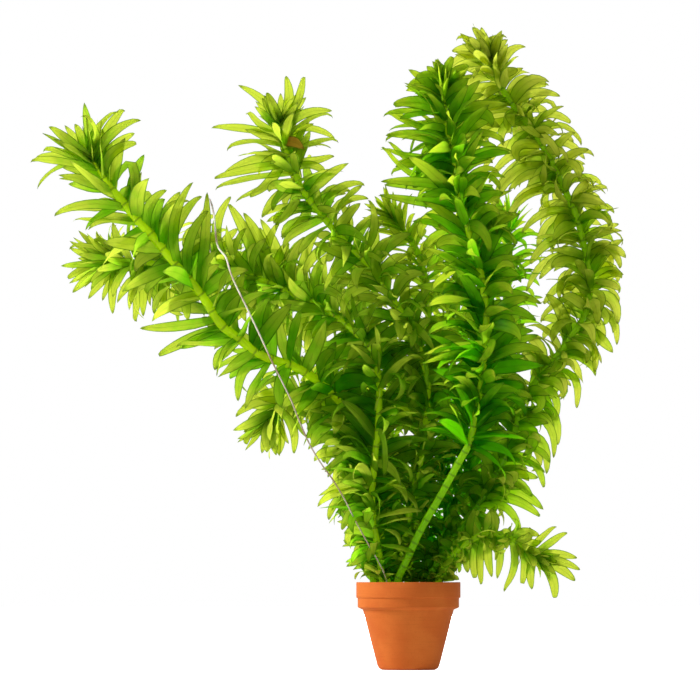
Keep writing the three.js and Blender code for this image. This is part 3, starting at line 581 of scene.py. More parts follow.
def whorl_path(curve, leaf):
    """A leaf of a whorl: it opens from the stem, sways aside and hooks back towards its tip."""
    forward = curve.direction(leaf["along"])
    side = unit(np.cross(forward, (0, 1, 0)))
    back = np.cross(side, forward)
    outward = side * math.cos(leaf["azimuth"]) + back * math.sin(leaf["azimuth"])
    over = np.cross(forward, outward)
    marks = np.linspace(0, 1, PATH_STEPS + 1)[:, None]
    bend = leaf["opening"] + leaf["curl"] * marks ** leaf["hook"]
    sway = leaf["sway"] * marks
    along = (outward * np.sin(bend) + forward * np.cos(bend)) * np.cos(sway) + over * np.sin(sway)
    walked = np.vstack([np.zeros(3), np.cumsum((along[1:] + along[:-1]) / 2, axis=0) / PATH_STEPS])
    middles = curve.at(leaf["along"]) + outward * LEAF_ROOTING + leaf["length"] * walked

    def path(share):
        spots = share * PATH_STEPS
        low = np.minimum(spots.astype(int), PATH_STEPS - 1)
        part = (spots - low)[:, None]
        point = middles[low] + (middles[low + 1] - middles[low]) * part
        tangent = along[low] + (along[low + 1] - along[low]) * part
        across = np.cross(tangent, forward * np.sin(bend[low]) - outward * np.cos(bend[low]))
        across /= -np.linalg.norm(across, axis=1)[:, None]
        face = np.cross(tangent, across)
        turn = (leaf["roll"] + leaf["twist"] * share)[:, None]
        width_line = across * np.cos(turn) + face * np.sin(turn)
        return point, width_line, face * np.cos(turn) - across * np.sin(turn)

    return path


def outline_path(start, tip, bow, tilt, hook):
    """A leaf of the outline: a bowed line from the stem, its face to the front, whose end hooks
    back just where it reaches its tip's place."""
    chord = tip - start
    reach = np.linalg.norm(chord)
    radius = HOOK_LENGTH / hook
    tip = tip - chord / reach * radius * math.sin(min(hook, math.pi / 2))
    hook_start = 1 - HOOK_LENGTH / (reach + HOOK_SPARE)
    chord = tip - start
    upwards = np.array([-chord[2], 0, chord[0]])
    upwards *= math.copysign(1, chord[0]) / math.hypot(chord[0], chord[2])
    control = (start + tip) / 2 + 2 * bow * upwards

    def path(share):
        bent = hook * np.clip((share - hook_start) / (1 - hook_start), 0, 1)[:, None]
        share = np.clip(share / hook_start, 0, 1)[:, None]
        point = (1 - share) ** 2 * start + 2 * share * (1 - share) * control + share ** 2 * tip
        direction = (1 - share) * (control - start) + share * (tip - control)
        direction /= np.linalg.norm(direction, axis=1)[:, None]
        upper = np.array([0, -math.cos(tilt), math.sin(tilt)])
        upper = upper - direction * (direction @ upper)[:, None]
        upper /= np.linalg.norm(upper, axis=1)[:, None]
        point += radius * (direction * np.sin(bent) - upper * (1 - np.cos(bent)))
        return point, np.cross(upper, direction), upper * np.cos(bent) + direction * np.sin(bent)

    return path


class Template:
    """A small closed shape that is repeated many times: its corners, their layer and its faces."""

    def __init__(self, bm, layer=None):
        bmesh.ops.recalc_face_normals(bm, faces=bm.faces[:])
        bm.verts.index_update()
        self.corners = np.array([vert.co for vert in bm.verts])
        self.layer = np.array([vert[layer] if layer else 0 for vert in bm.verts])
        self.faces = [[vert.index for vert in face.verts] for face in bm.faces]
        bm.free()


def blade_template():
    """A flat blade: a grid for the upper face and one for the lower, joined along the margins
    and at the tip. X is -1 to 1 across, Y is 0 to 1 along, and layer is 1 above, -1 below."""
    bm = bmesh.new()
    layer = bm.verts.layers.float.new("layer")
    for side in (1, -1):
        sheet = bmesh.ops.create_grid(bm, x_segments=2, y_segments=BLADE_ROWS, size=1)
        for vert in sheet["verts"]:
            at_tip = vert.co.y > BLADE_EDGE
            vert[layer] = 0 if abs(vert.co.x) > BLADE_EDGE or at_tip else side
            vert.co.x *= not at_tip
            vert.co.y = 1 - ((1 - vert.co.y) / 2) ** BLADE_ROW_CROWDING
    shared = [vert for vert in bm.verts if vert[layer] == 0]
    bmesh.ops.remove_doubles(bm, verts=shared, dist=MERGE_REACH)
    bmesh.ops.holes_fill(bm, edges=[edge for edge in bm.edges if edge.is_boundary], sides=4)
    return Template(bm, layer)


def blade_profile(along):
    """The half width of a blade along its length, as a share of the broadest."""
    rise = np.sin(np.minimum(1, along / BLADE_BROADEST) * math.pi / 2)
    past = np.clip((along - BLADE_BROADEST) / (1 - BLADE_BROADEST), 0, 1)
    taper = (1 - past ** BLADE_TAPER) ** BLADE_BLUNTNESS
    return (BLADE_BASE_SHARE + (1 - BLADE_BASE_SHARE) * rise) * taper


def blade_corners(template, path, width, phase):
    """The corners of one blade: folded along its midrib, with slightly wavy margins."""
    across, along = template.corners[:, 0], template.corners[:, 1]
    half = width / 2 * blade_profile(along)
    edge = np.abs(across)
    ripple = np.sin(2 * math.pi * (BLADE_WAVES * along + phase) + across)
    ripple *= np.sin(math.pi * along)
    lift = half * (BLADE_FOLD * edge + BLADE_WAVE * ripple * edge)
    lift += template.layer * BLADE_THICKNESS / 2 * (1 - BLADE_THINNING * along)
    point, side, upper = path(along)
    return point + side * (across * half)[:, None] + upper * lift[:, None]


# Leaves of a shoot

def whorl_places(shoot, length):
    """Places of a shoot's whorls along its stem, from the lowest to the bud, as on the solids."""
    along = FIRST_LEAF_HEIGHT - STEM_START + shoot["bare"]
    while along < length:
        yield along
        along += min(shoot["gap"], TIP_GAP + TIP_GAP_GROWTH * (length - along))


def leaf_of(shoot, length, along, azimuth, source, vary):
    """One leaf. Vary is WHORL_VARY for the solids' leaves, and FILL_VARY for the others."""
    chance = [next(source) for _ in range(LEAF_CHANCES)]
    to_tip = length - along
    grown = min(1, to_tip / shoot["tip_reach"])
    risen = min(1, FOOT_SHARE + along / shoot["foot_reach"])
    whorl_opening = shoot["opening"] + WHORL_MOOD * math.sin(along + shoot["seed"])
    opening = math.radians(whorl_opening + (chance[1] - 0.5) * OPENING_SPREAD * vary)
    curl = math.radians(min(MOST_CURL, shoot["curl"] * lerp(*CURLS, chance[2] ** 2) + LEAST_CURL))
    reach = shoot["length"] * (SHORTEST + LENGTH_SPREAD * chance[3]) * risen
    broad = WIDER * shoot["narrow"] * lerp(FOOT_WIDTH, 1, risen)
    if vary == FILL_VARY:
        reach *= lerp(1, shoot["fill_length"], grown) * lerp(*FILL_LENGTHS, chance[4])
    azimuth += (chance[0] - 0.5) * AZIMUTH_SPREAD * vary
    parted = shoot["parted"] if along > shoot["open_from"] else 0
    if math.sin(azimuth) < -PARTED_FRONT and (chance[1] + chance[4]) % 1 < parted:
        azimuth = (math.pi if math.cos(azimuth) < 0 else 0) + (chance[5] - 0.5) * PARTED_SPREAD
    return {
        "along": along,
        "azimuth": azimuth,
        "opening": lerp(TIP_OPENING, opening, grown),
        "curl": curl * grown,
        "hook": lerp(*HOOKS, chance[5]),
        "sway": (chance[3] + chance[5] - 1) * SWAY * grown,
        "length": reach * lerp(shoot["tip_share"], 1, grown),
        "width": shoot["width"] * broad * lerp(TIP_WIDTH, 1, grown) * lerp(*WIDTHS, chance[0]),
        "roll": (chance[4] - 0.5) * 2 * ROLL,
        "twist": (chance[5] - 0.5) * 2 * TWIST,
        "phase": chance[0] + chance[5],
        "age": min(1, to_tip / length),
    }


def whorl_leaves(shoot, length):
    """The leaves of a shoot: those of the solids' whorls, then more on these and on the nodes
    halfway between them, until the shoot is as full as it grew."""
    places = list(whorl_places(shoot, length))
    draw = random_source(shoot["seed"])
    for turn, along in enumerate(places):
        for quarter in range(WHORL_LEAVES):
            azimuth = turn * WHORL_TURN + quarter * math.pi / 2
            yield leaf_of(shoot, length, along, azimuth, draw, WHORL_VARY)
    spare = random_source(shoot["seed"] + FILL_SEED)
    if not shoot["bare"]:
        places = [FOOT_WHORL, *places]
    for start, end in zip(places, [*places[1:], length]):
        for along in np.linspace(start, end, FILL_NODES, endpoint=False):
            first = next(spare) * 2 * math.pi
            fill = shoot["low_fill"] if along < shoot["open_from"] else shoot["fill"]
            for place in range(fill):
                azimuth = first + place * 2 * math.pi / fill
                yield leaf_of(shoot, length, along, azimuth, spare, FILL_VARY)


def is_clear(corners):
    """True where a leaf stays out of the pot and the gravel, and inside the plant's reach."""
    radius = np.hypot(corners[:, 0], corners[:, 1])
    floor = np.where(radius < LEAF_HOLLOW, GRAVEL_TOP + GRAIN_RADIUS[1], POT_HEIGHT)
    in_pot = (corners[:, 2] < floor + POT_CLEARANCE) & (radius < RIM_RADIUS + POT_CLEARANCE)
    inside = (corners > REACH_LOW).all() and (corners < REACH_HIGH).all()
    return inside and not in_pot.any()


def fitted_blade(template, curve, leaf):
    """A whorl leaf's corners as it grew, or folded up or shortened until it is clear."""
    for fold, share in LEAF_TRIES:
        tried = {**leaf, "opening": leaf["opening"] - fold, "length": leaf["length"] * share}
        corners = blade_corners(template, whorl_path(curve, tried), leaf["width"], leaf["phase"])
        if is_clear(corners):
            return corners
    return None


def outline_blades(template, shoot, curve, rows, forward=0):
    """The leaves of an outline with their ages, each from the place on the stem nearest to its
    base. Forward is how far they lean to the front."""
    trials = np.arange(0, curve.length, BASE_STEP)
    places = np.array([curve.at(trial) for trial in trials])
    for index, row in enumerate(rows):
        base_x, base_z, tip_x, tip_z, bow, seen_width = row
        nearest = np.argmin(np.hypot(places[:, 0] - base_x, places[:, 2] - base_z))
        start = places[nearest]
        reach = math.hypot(tip_x - start[0], tip_z - start[2])
        lean = OUTLINE_LEAN * math.sin(OUTLINE_LEAN_STEP * (index + 1)) - forward
        tip = np.array([tip_x, start[1] + reach * lean, tip_z])
        tilt = math.acos(min(1, seen_width / shoot["width"]))
        hook = math.radians(lerp(*HOOK_TURNS, index * HOOK_STEP % 1))
        path = outline_path(start, tip, bow, tilt, hook)
        width = max(seen_width, shoot["width"])
        corners = blade_corners(template, path, width, index * PHASE_STEP)
        if is_clear(corners):
            yield corners, 1 - trials[nearest] / curve.length


# Stems and the root

def ring_matrix(curve, along, radius):
    """Takes a unit circle to the stem's section at a place along it."""
    forward = curve.direction(along)
    side = unit(np.cross(forward, (0, 1, 0)))
    front = np.cross(forward, side)
    rows = np.column_stack([side * radius, front * radius, forward, curve.at(along)])
    return Matrix([*rows.tolist(), [0, 0, 0, 1]])


def tube(curve, rings, sides):
    """A closed round rod along a curve. Rings are pairs of a place along it and a radius."""
    bm = bmesh.new()
    circle = bmesh.ops.create_circle(bm, cap_ends=True, radius=1, segments=sides)["verts"]
    edges = bm.edges[:]
    place = ring_matrix(curve, *rings[0])
    bmesh.ops.transform(bm, matrix=place, verts=circle)
    for ring in rings[1:]:
        grown = bmesh.ops.extrude_edge_only(bm, edges=edges)["geom"]
        verts = [item for item in grown if isinstance(item, bmesh.types.BMVert)]
        edges = [item for item in grown if isinstance(item, bmesh.types.BMEdge)]
        following = ring_matrix(curve, *ring)
        bmesh.ops.transform(bm, matrix=following @ place.inverted(), verts=verts)
        place = following
    bmesh.ops.contextual_create(bm, geom=edges)
    return Template(bm)


def stem_rings(curve, nodes, radius):
    """Rings of a stem: swollen at each node, where the leaves sit, and thinner to the bud."""
    places = {0.0: 0, curve.length: 0}
    for node in nodes:
        for offset, swell in NODE_RINGS:
            if 0 < node + offset < curve.length - BUD_GAP:
                places[round(node + offset, 1)] = swell
    rings = []
    for along in sorted(places):
        taper = min(1, BUD_RADIUS / radius + (curve.length - along) / STEM_TAPER)
        rings.append((along, radius * taper * (1 + NODE_SWELL * places[along])))
    return rings, [places[along] for along in sorted(places)]


# Materials

def linear(colour):
    """An sRGB hex colour as linear red, green, blue and alpha."""
    shares = [int(colour[i:i + 2], 16) / 255 for i in (1, 3, 5)]
    return (*[c / 12.92 if c <= 0.04045 else ((c + 0.055) / 1.055) ** 2.4 for c in shares], 1)


def half_through(colour):
    """The tint of one skin of a blade, when both skins together let this colour through."""
    return tuple(math.sqrt(share) for share in linear(colour))


def add(tree, kind, inputs=(), **settings):
    """Adds a node with its settings. Inputs are its first ones in order, or some by name or
    number, and each is a value or another node's output."""
    node = tree.nodes.new(kind)
    for name, value in settings.items():
        setattr(node, name, value)
    for name, value in inputs.items() if isinstance(inputs, dict) else enumerate(inputs):
        if isinstance(value, bpy.types.NodeSocket):
            tree.links.new(value, node.inputs[name])
        else:
            node.inputs[name].default_value = value
    return node


def new_material(name):
    material = bpy.data.materials.new(name)
    material.use_nodes = True
    material.node_tree.nodes.clear()
    return material, material.node_tree


def finished(material, shader):
    add(material.node_tree, "ShaderNodeOutputMaterial", {"Surface": shader})
    return material


# A Map Range node takes a value, its low and its high, and what these become, which is 0 and 1
# where it isn't given. A Mix node has its two colours and their mixture at these numbers.
EASED = {"interpolation_type": "SMOOTHSTEP"}
COLOUR_MIX = {"data_type": "RGBA"}
MIX_A, MIX_B, MIX_RESULT = 6, 7, 2


def waterweed_blade(name, colours):
    """Living waterweed leaf, two cells thick. Light from behind comes through it yellow-green,
    its midrib is darker, and its wet skin has a soft gloss. Its margins and tip are darkened
    with painted shade. Its rows of cells are too fine to show, so they are drawn as streaks
    about 0.3 mm wide."""
    young_through, old_through, young_skin, old_skin = colours
    material, tree = new_material(name)
    place = add(tree, "ShaderNodeTexCoord").outputs["Object"]
    blade = add(tree, "ShaderNodeUVMap", uv_map="blade").outputs["UV"]
    parts = add(tree, "ShaderNodeSeparateXYZ", [blade])
    along = parts.outputs["Y"]
    edge = add(tree, "ShaderNodeMath", [parts.outputs["X"], 0.5], operation="PINGPONG").outputs[0]
    tone = add(tree, "ShaderNodeAttribute", attribute_name="tone").outputs["Fac"]
    cells = add(tree, "ShaderNodeMapping", {"Vector": blade, "Scale": STREAK_COUNTS}).outputs[0]
    streaks = add(tree, "ShaderNodeTexNoise", {"Vector": cells, "Scale": 1, "Detail": 3}).outputs[0]
    patches = add(tree, "ShaderNodeTexNoise", {
        "Vector": place, "Scale": 1 / (7 * MM), "Detail": 2}).outputs[0]
    midrib = add(tree, "ShaderNodeMapRange", [edge, 0.43, 0.49], **EASED).outputs[0]
    margin = add(tree, "ShaderNodeMapRange", [edge, 0.12, 0.02], **EASED).outputs[0]
    tip = add(tree, "ShaderNodeMapRange", [along, 0.86, 1], **EASED).outputs[0]
    streaked = add(tree, "ShaderNodeMapRange", [streaks, 0.35, 0.7, 0, 0.45], **EASED).outputs[0]
    patched = add(tree, "ShaderNodeMapRange", [patches, 0.3, 0.7, -0.16, 0.16], **EASED).outputs[0]
    from_base = add(tree, "ShaderNodeMapRange", [along, 0.1, 0.9, 0.22, -0.22], **EASED).outputs[0]
    varied = add(tree, "ShaderNodeMath", [patched, from_base], operation="ADD").outputs[0]
    age = add(tree, "ShaderNodeMath", [tone, varied], operation="ADD", use_clamp=True).outputs[0]
    through = add(tree, "ShaderNodeMix", {
        0: age, MIX_A: half_through(young_through), MIX_B: half_through(old_through)},
        **COLOUR_MIX).outputs[MIX_RESULT]
    skin = add(tree, "ShaderNodeMix", {
        0: age, MIX_A: linear(young_skin), MIX_B: linear(old_skin)}, **COLOUR_MIX).outputs[MIX_RESULT]
    # The margin and tip masks are painted shade: dark lines along a blade's edges and at its curled tip
    for mask, strength, dark in ((streaked, 0.2, VEIN_AND_EDGE_SHADE), (midrib, 0.14, VEIN_AND_EDGE_SHADE), (margin, 0.7, VEIN_AND_EDGE_SHADE),
                                 (tip, 0.55, TIP_PAINTED_SHADE)):
        share = add(tree, "ShaderNodeMath", [mask, strength], operation="MULTIPLY").outputs[0]
        through = add(tree, "ShaderNodeMix", {
            0: share, MIX_A: through, MIX_B: half_through(dark)}, **COLOUR_MIX).outputs[MIX_RESULT]
        skin = add(tree, "ShaderNodeMix", {
            0: share, MIX_A: skin, MIX_B: linear(dark)}, **COLOUR_MIX).outputs[MIX_RESULT]
    rib = add(tree, "ShaderNodeBump", {
        "Strength": 0.5, "Distance": 0.12 * MM, "Height": midrib}, invert=True).outputs[0]
    relief = add(tree, "ShaderNodeBump", {
        "Strength": 0.35, "Distance": 0.06 * MM, "Height": streaks, "Normal": rib}).outputs[0]
    gloss = add(tree, "ShaderNodeBsdfPrincipled", {
        "Base Color": skin, "Roughness": 0.4, "IOR": 1.42, "Specular IOR Level": 0.3,
        "Normal": relief}).outputs[0]
    glow = add(tree, "ShaderNodeBsdfTranslucent", {"Color": through, "Normal": relief}).outputs[0]
    return finished(material, add(tree, "ShaderNodeMixShader", [LEAF_THROUGH, gloss, glow]).outputs[0])


def waterweed_stem():
    """Juicy round green stem, paler than the leaves, ringed darker where the whorls sit. It gives
    off a faint painted glow in its own colour.
    """
    material, tree = new_material("waterweed_stem")
    place = add(tree, "ShaderNodeTexCoord").outputs["Object"]
    tone = add(tree, "ShaderNodeAttribute", attribute_name="tone").outputs["Fac"]
    ring = add(tree, "ShaderNodeAttribute", attribute_name="ring").outputs["Fac"]
    patches = add(tree, "ShaderNodeTexNoise", {
        "Vector": place, "Scale": 1 / (4 * MM), "Detail": 3}).outputs[0]
    fibres = add(tree, "ShaderNodeTexNoise", {
        "Vector": place, "Scale": 1 / (0.5 * MM), "Detail": 2}).outputs[0]
    patched = add(tree, "ShaderNodeMapRange", [patches, 0.4, 0.7, 0, 0.15], **EASED).outputs[0]
    band = add(tree, "ShaderNodeMapRange", [ring, 0.3, 0.95, 0, 0.6], **EASED).outputs[0]
    flesh = linear(YOUNG_STEM)
    for mask, tint in ((tone, OLD_STEM), (patched, VEIN_AND_EDGE_SHADE), (band, NODE_DARK)):
        flesh = add(tree, "ShaderNodeMix", {
            0: mask, MIX_A: flesh, MIX_B: linear(tint)}, **COLOUR_MIX).outputs[MIX_RESULT]
    through = add(tree, "ShaderNodeGamma", {"Color": flesh, "Gamma": 0.7}).outputs[0]
    relief = add(tree, "ShaderNodeBump", {
        "Strength": 0.3, "Distance": 0.1 * MM, "Height": fibres}).outputs[0]
    # Painted glow: the stem gives off light in its own flesh colour, though it is no lamp
    gloss = add(tree, "ShaderNodeBsdfPrincipled", {
        "Base Color": flesh, "Roughness": 0.4, "IOR": 1.42, "Specular IOR Level": 0.3,
        "Normal": relief, "Emission Color": flesh, "Emission Strength": STEM_PAINTED_GLOW}).outputs[0]
    glow = add(tree, "ShaderNodeBsdfTranslucent", {"Color": through, "Normal": relief}).outputs[0]
    return finished(material, add(tree, "ShaderNodeMixShader", [STEM_THROUGH, gloss, glow]).outputs[0])


def terracotta():
    """Unglazed earthenware, pressed in a mould and fired orange: dry and matt, with a sandy
    grain, faint cloudy patches, fine level lines from the mould and small pits."""
    material, tree = new_material("terracotta")
    place = add(tree, "ShaderNodeTexCoord").outputs["Object"]
    level = add(tree, "ShaderNodeMapping", {"Vector": place, "Scale": LEVEL_STRETCH}).outputs[0]
    clouds = add(tree, "ShaderNodeTexNoise", {
        "Vector": place, "Scale": 1 / (14 * MM), "Detail": 5}).outputs[0]
    grain = add(tree, "ShaderNodeTexNoise", {
        "Vector": place, "Scale": 1 / (0.5 * MM), "Detail": 4}).outputs[0]
    lines = add(tree, "ShaderNodeTexNoise", {
        "Vector": level, "Scale": 1 / (0.8 * MM), "Detail": 3}).outputs[0]
    pits = add(tree, "ShaderNodeTexVoronoi", {
        "Vector": place, "Scale": 1 / (1.6 * MM)}).outputs["Distance"]
    cloudy = add(tree, "ShaderNodeMapRange", [clouds, 0.35, 0.68], **EASED).outputs[0]
    specks = add(tree, "ShaderNodeMapRange", [grain, 0.55, 0.75, 0, 0.35], **EASED).outputs[0]
    lined = add(tree, "ShaderNodeMapRange", [lines, 0.5, 0.75, 0, 0.16], **EASED).outputs[0]
    pitted = add(tree, "ShaderNodeMapRange", [pits, 0.12, 0.02], **EASED).outputs[0]
    colour = linear(CLAY)
    for mask, tint in ((cloudy, CLAY_PALE), (specks, CLAY_DARK), (lined, CLAY_DARK)):
        colour = add(tree, "ShaderNodeMix", {
            0: mask, MIX_A: colour, MIX_B: linear(tint)}, **COLOUR_MIX).outputs[MIX_RESULT]
    sandy = add(tree, "ShaderNodeBump", {
        "Strength": 0.35, "Distance": 0.12 * MM, "Height": grain}).outputs[0]
    ridged = add(tree, "ShaderNodeBump", {
        "Strength": 0.2, "Distance": 0.1 * MM, "Height": lines, "Normal": sandy}).outputs[0]
    relief = add(tree, "ShaderNodeBump", {
        "Strength": 0.3, "Distance": 0.15 * MM, "Height": pitted, "Normal": ridged},
        invert=True).outputs[0]
    shader = add(tree, "ShaderNodeBsdfPrincipled", {
        "Base Color": colour, "Roughness": 0.85, "IOR": 1.5, "Specular IOR Level": 0.2,
        "Normal": relief})
    return finished(material, shader.outputs[0])


def river_gravel():
    """Washed river gravel, 2 to 3 mm: rounded grains of brown, grey and cream stone, damp."""
    material, tree = new_material("river_gravel")
    place = add(tree, "ShaderNodeTexCoord").outputs["Object"]
    tone = add(tree, "ShaderNodeAttribute", attribute_name="tone").outputs["Fac"]
    grain = add(tree, "ShaderNodeTexNoise", {
        "Vector": place, "Scale": 1 / (0.6 * MM), "Detail": 4}).outputs[0]
    grey = add(tree, "ShaderNodeMapRange", [tone, 0, 0.6], **EASED).outputs[0]
    cream = add(tree, "ShaderNodeMapRange", [tone, 0.7, 1], **EASED).outputs[0]
    flecks = add(tree, "ShaderNodeMapRange", [grain, 0.5, 0.7, 0, 0.5], **EASED).outputs[0]
    colour = linear(BROWN_STONE)
    for mask, tint in ((grey, GREY_STONE), (cream, CREAM_STONE), (flecks, STONE_FLECK)):
        colour = add(tree, "ShaderNodeMix", {
            0: mask, MIX_A: colour, MIX_B: linear(tint)}, **COLOUR_MIX).outputs[MIX_RESULT]
    relief = add(tree, "ShaderNodeBump", {
        "Strength": 0.4, "Distance": 0.15 * MM, "Height": grain}).outputs[0]
    shader = add(tree, "ShaderNodeBsdfPrincipled", {
        "Base Color": colour, "Roughness": 0.5, "IOR": 1.5, "Normal": relief})
    return finished(material, shader.outputs[0])


def water_root_skin():
    """Pale water root: a smooth silvery white strand that browns in patches and low down."""
    material, tree = new_material("water_root_skin")
    place = add(tree, "ShaderNodeTexCoord").outputs["Object"]
    height = add(tree, "ShaderNodeSeparateXYZ", [place]).outputs["Z"]
    low, high = (edge * MM for edge in ROOT_BROWN_HEIGHTS)
    patches = add(tree, "ShaderNodeTexNoise", {
        "Vector": place, "Scale": 1 / (12 * MM), "Detail": 4}).outputs[0]
    patched = add(tree, "ShaderNodeMapRange", [patches, 0.42, 0.64], **EASED).outputs[0]
    browned = add(tree, "ShaderNodeMapRange", [height, low, high, 0.7, 0], **EASED).outputs[0]
    colour = linear(ROOT_PALE)
    for mask in (patched, browned):
        colour = add(tree, "ShaderNodeMix", {
            0: mask, MIX_A: colour, MIX_B: linear(ROOT_BROWN)}, **COLOUR_MIX).outputs[MIX_RESULT]
    shader = add(tree, "ShaderNodeBsdfPrincipled", {
        "Base Color": colour, "Roughness": 0.3, "IOR": 1.42, "Subsurface Weight": 0.3,
        "Subsurface Scale": 0.4 * MM})
    return finished(material, shader.outputs[0])


# Meshes and pieces

def joined_mesh(name, parts, materials):
    """One mesh of many closed shapes in millimetres. A part has corners, faces, slot, and
    optionally uv, tone and ring, one for each corner or one for all."""
    counts = [len(part["corners"]) for part in parts]
    starts = np.concatenate([[0], np.cumsum(counts)[:-1]])
    corners = np.vstack([part["corners"] for part in parts])
    faces = [[start + corner for corner in face]
             for part, start in zip(parts, starts.tolist()) for face in part["faces"]]
    mesh = bpy.data.meshes.new(name)
    mesh.from_pydata(corners * MM, [], faces)
    slots = np.repeat([part.get("slot", 0) for part in parts],
                      [len(part["faces"]) for part in parts])
    mesh.polygons.foreach_set("material_index", slots)
    uv = np.vstack([np.broadcast_to(part.get("uv", (0.5, 0.5)), (count, 2))
                    for part, count in zip(parts, counts)])
    owners = np.zeros(len(mesh.loops), int)
    mesh.loops.foreach_get("vertex_index", owners)
    mesh.uv_layers.new(name="blade").uv.foreach_set("vector", uv[owners].ravel())
    for label in ("tone", "ring"):
        values = [np.broadcast_to(part.get(label, 0.0), count) for part, count in zip(parts, counts)]
        mesh.attributes.new(label, "FLOAT", "POINT").data.foreach_set("value", np.concatenate(values))
    for material in materials:
        mesh.materials.append(material)
    mesh.shade_smooth()
    mesh.set_sharp_from_angle(angle=SHARP_ANGLE)
    return mesh


def add_piece(name, mesh, slot, *nodes):
    piece = bpy.data.objects.new(name, mesh)
    bpy.context.scene.collection.objects.link(piece)
    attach(piece, "root")
    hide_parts(*nodes)
    return piece


def painted_shade(shoot, corners):
    """How much painted shade darkens a shoot's tone at some corners, low in the plant."""
    return shoot["shade"] * (1 - np.interp(corners[..., 2], PAINTED_SHADE_HEIGHTS, (0, 1)))


def make_shoot(shoot, template, materials):
    """A leafy shoot: its stem, its whorls and the leaves that draw the plant's outline.
    Materials are those of its blades, its stem and a faded blade."""
    curve = Curve(shoot["route"])
    nodes = list(whorl_places(shoot, curve.length))
    nodes = [*np.arange(STEM_RING_GAP, nodes[0] - STEM_RING_GAP / 2, STEM_RING_GAP), *nodes]
    rings, swells = stem_rings(curve, nodes, shoot["stem"])
    stem = tube(curve, rings, STEM_SIDES)
    # The stem's tone is darkened low down by painted shade
    parts = [{"corners": stem.corners, "faces": stem.faces, "slot": 1,
              "ring": np.repeat(swells, STEM_SIDES),
              "tone": shoot["stem_tone"] + painted_shade(shoot, stem.corners)}]
    uv = np.column_stack([(template.corners[:, 0] + 1) / 2, template.corners[:, 1]])
    blades = []
    for leaf in whorl_leaves(shoot, curve.length):
        corners = fitted_blade(template, curve, leaf)
        if corners is not None:
            blades.append((corners, leaf["age"], leaf["phase"]))
    for corners, age in outline_blades(template, shoot, curve, shoot["outline"]):
        blades.append((corners, age, 0.5))
    for corners, age, chance in blades:
        tone = shoot["tone"] + AGE_TONE * (age - 0.5) + CHANCE_TONE * (chance % 1 - 0.5)
        # Painted shade: blades low in the plant get a darker tone
        tone += painted_shade(shoot, corners[0])
        parts.append({"corners": corners, "faces": template.faces, "uv": uv, "tone": tone})
    for corners, age in outline_blades(template, shoot, curve, shoot["faded"], FADED_LEAN):
        parts.append({"corners": corners, "faces": template.faces, "uv": uv, "slot": 2,
                      "tone": shoot["tone"]})
    mesh = joined_mesh("leafy_" + shoot["name"], parts, materials)
    add_piece("leafy_" + shoot["name"], mesh, "leafy_stem", shoot["name"])


def turned_shape(profile, sides):
    """A bmesh turned round the Z axis from a half profile of radius and height pairs."""
    bm = bmesh.new()
    verts = [bm.verts.new((radius, 0, z)) for radius, z in profile]
    for start, end in zip(verts, verts[1:]):
        bm.edges.new((start, end))
    bmesh.ops.spin(bm, geom=bm.verts[:] + bm.edges[:], axis=(0, 0, 1), cent=(0, 0, 0),
                   angle=2 * math.pi, steps=sides, use_merge=True)
    bmesh.ops.remove_doubles(bm, verts=bm.verts[:], dist=MERGE_REACH)
    bmesh.ops.recalc_face_normals(bm, faces=bm.faces[:])
    return bm


def make_pot(materials):
    """The clay pot: a straight taper under a collar of two bands, with its edges worn round."""
    band_foot = POT_HEIGHT - RIM_BAND
    collar_foot = band_foot - COLLAR_BAND
    stand = FOOT_RADIUS - FOOT_ROUND
    worn = FOOT_ROUND * FOOT_WORN
    bm = turned_shape([
        (0, UNDERSIDE_HOLLOW), (stand - FOOT_RING - UNDERSIDE_HOLLOW, UNDERSIDE_HOLLOW),
        (stand - FOOT_RING, 0), (stand, 0), (FOOT_RADIUS - worn, worn),
        (FOOT_RADIUS, FOOT_ROUND), (NECK_RADIUS, collar_foot - COLLAR_UNDERSIDE),
        (COLLAR_RADIUS, collar_foot), (COLLAR_RADIUS, band_foot), (RIM_RADIUS, band_foot),
        (RIM_RADIUS, POT_HEIGHT), (RIM_RADIUS - POT_WALL, POT_HEIGHT),
        (FOOT_RADIUS - POT_WALL, POT_FLOOR), (0, POT_FLOOR)], POT_SIDES)
    creases = [edge for edge in bm.edges if edge.calc_face_angle(0) > POT_CREASE]
    bmesh.ops.bevel(bm, geom=creases, offset=POT_EDGE_ROUND, affect="EDGES", segments=3,
                    profile=0.5, material=-1, clamp_overlap=True)
    pot = Template(bm)
    mesh = joined_mesh("clay_pot", [{"corners": pot.corners, "faces": pot.faces}], materials)
    add_piece("clay_pot", mesh, "terracotta", "pot")


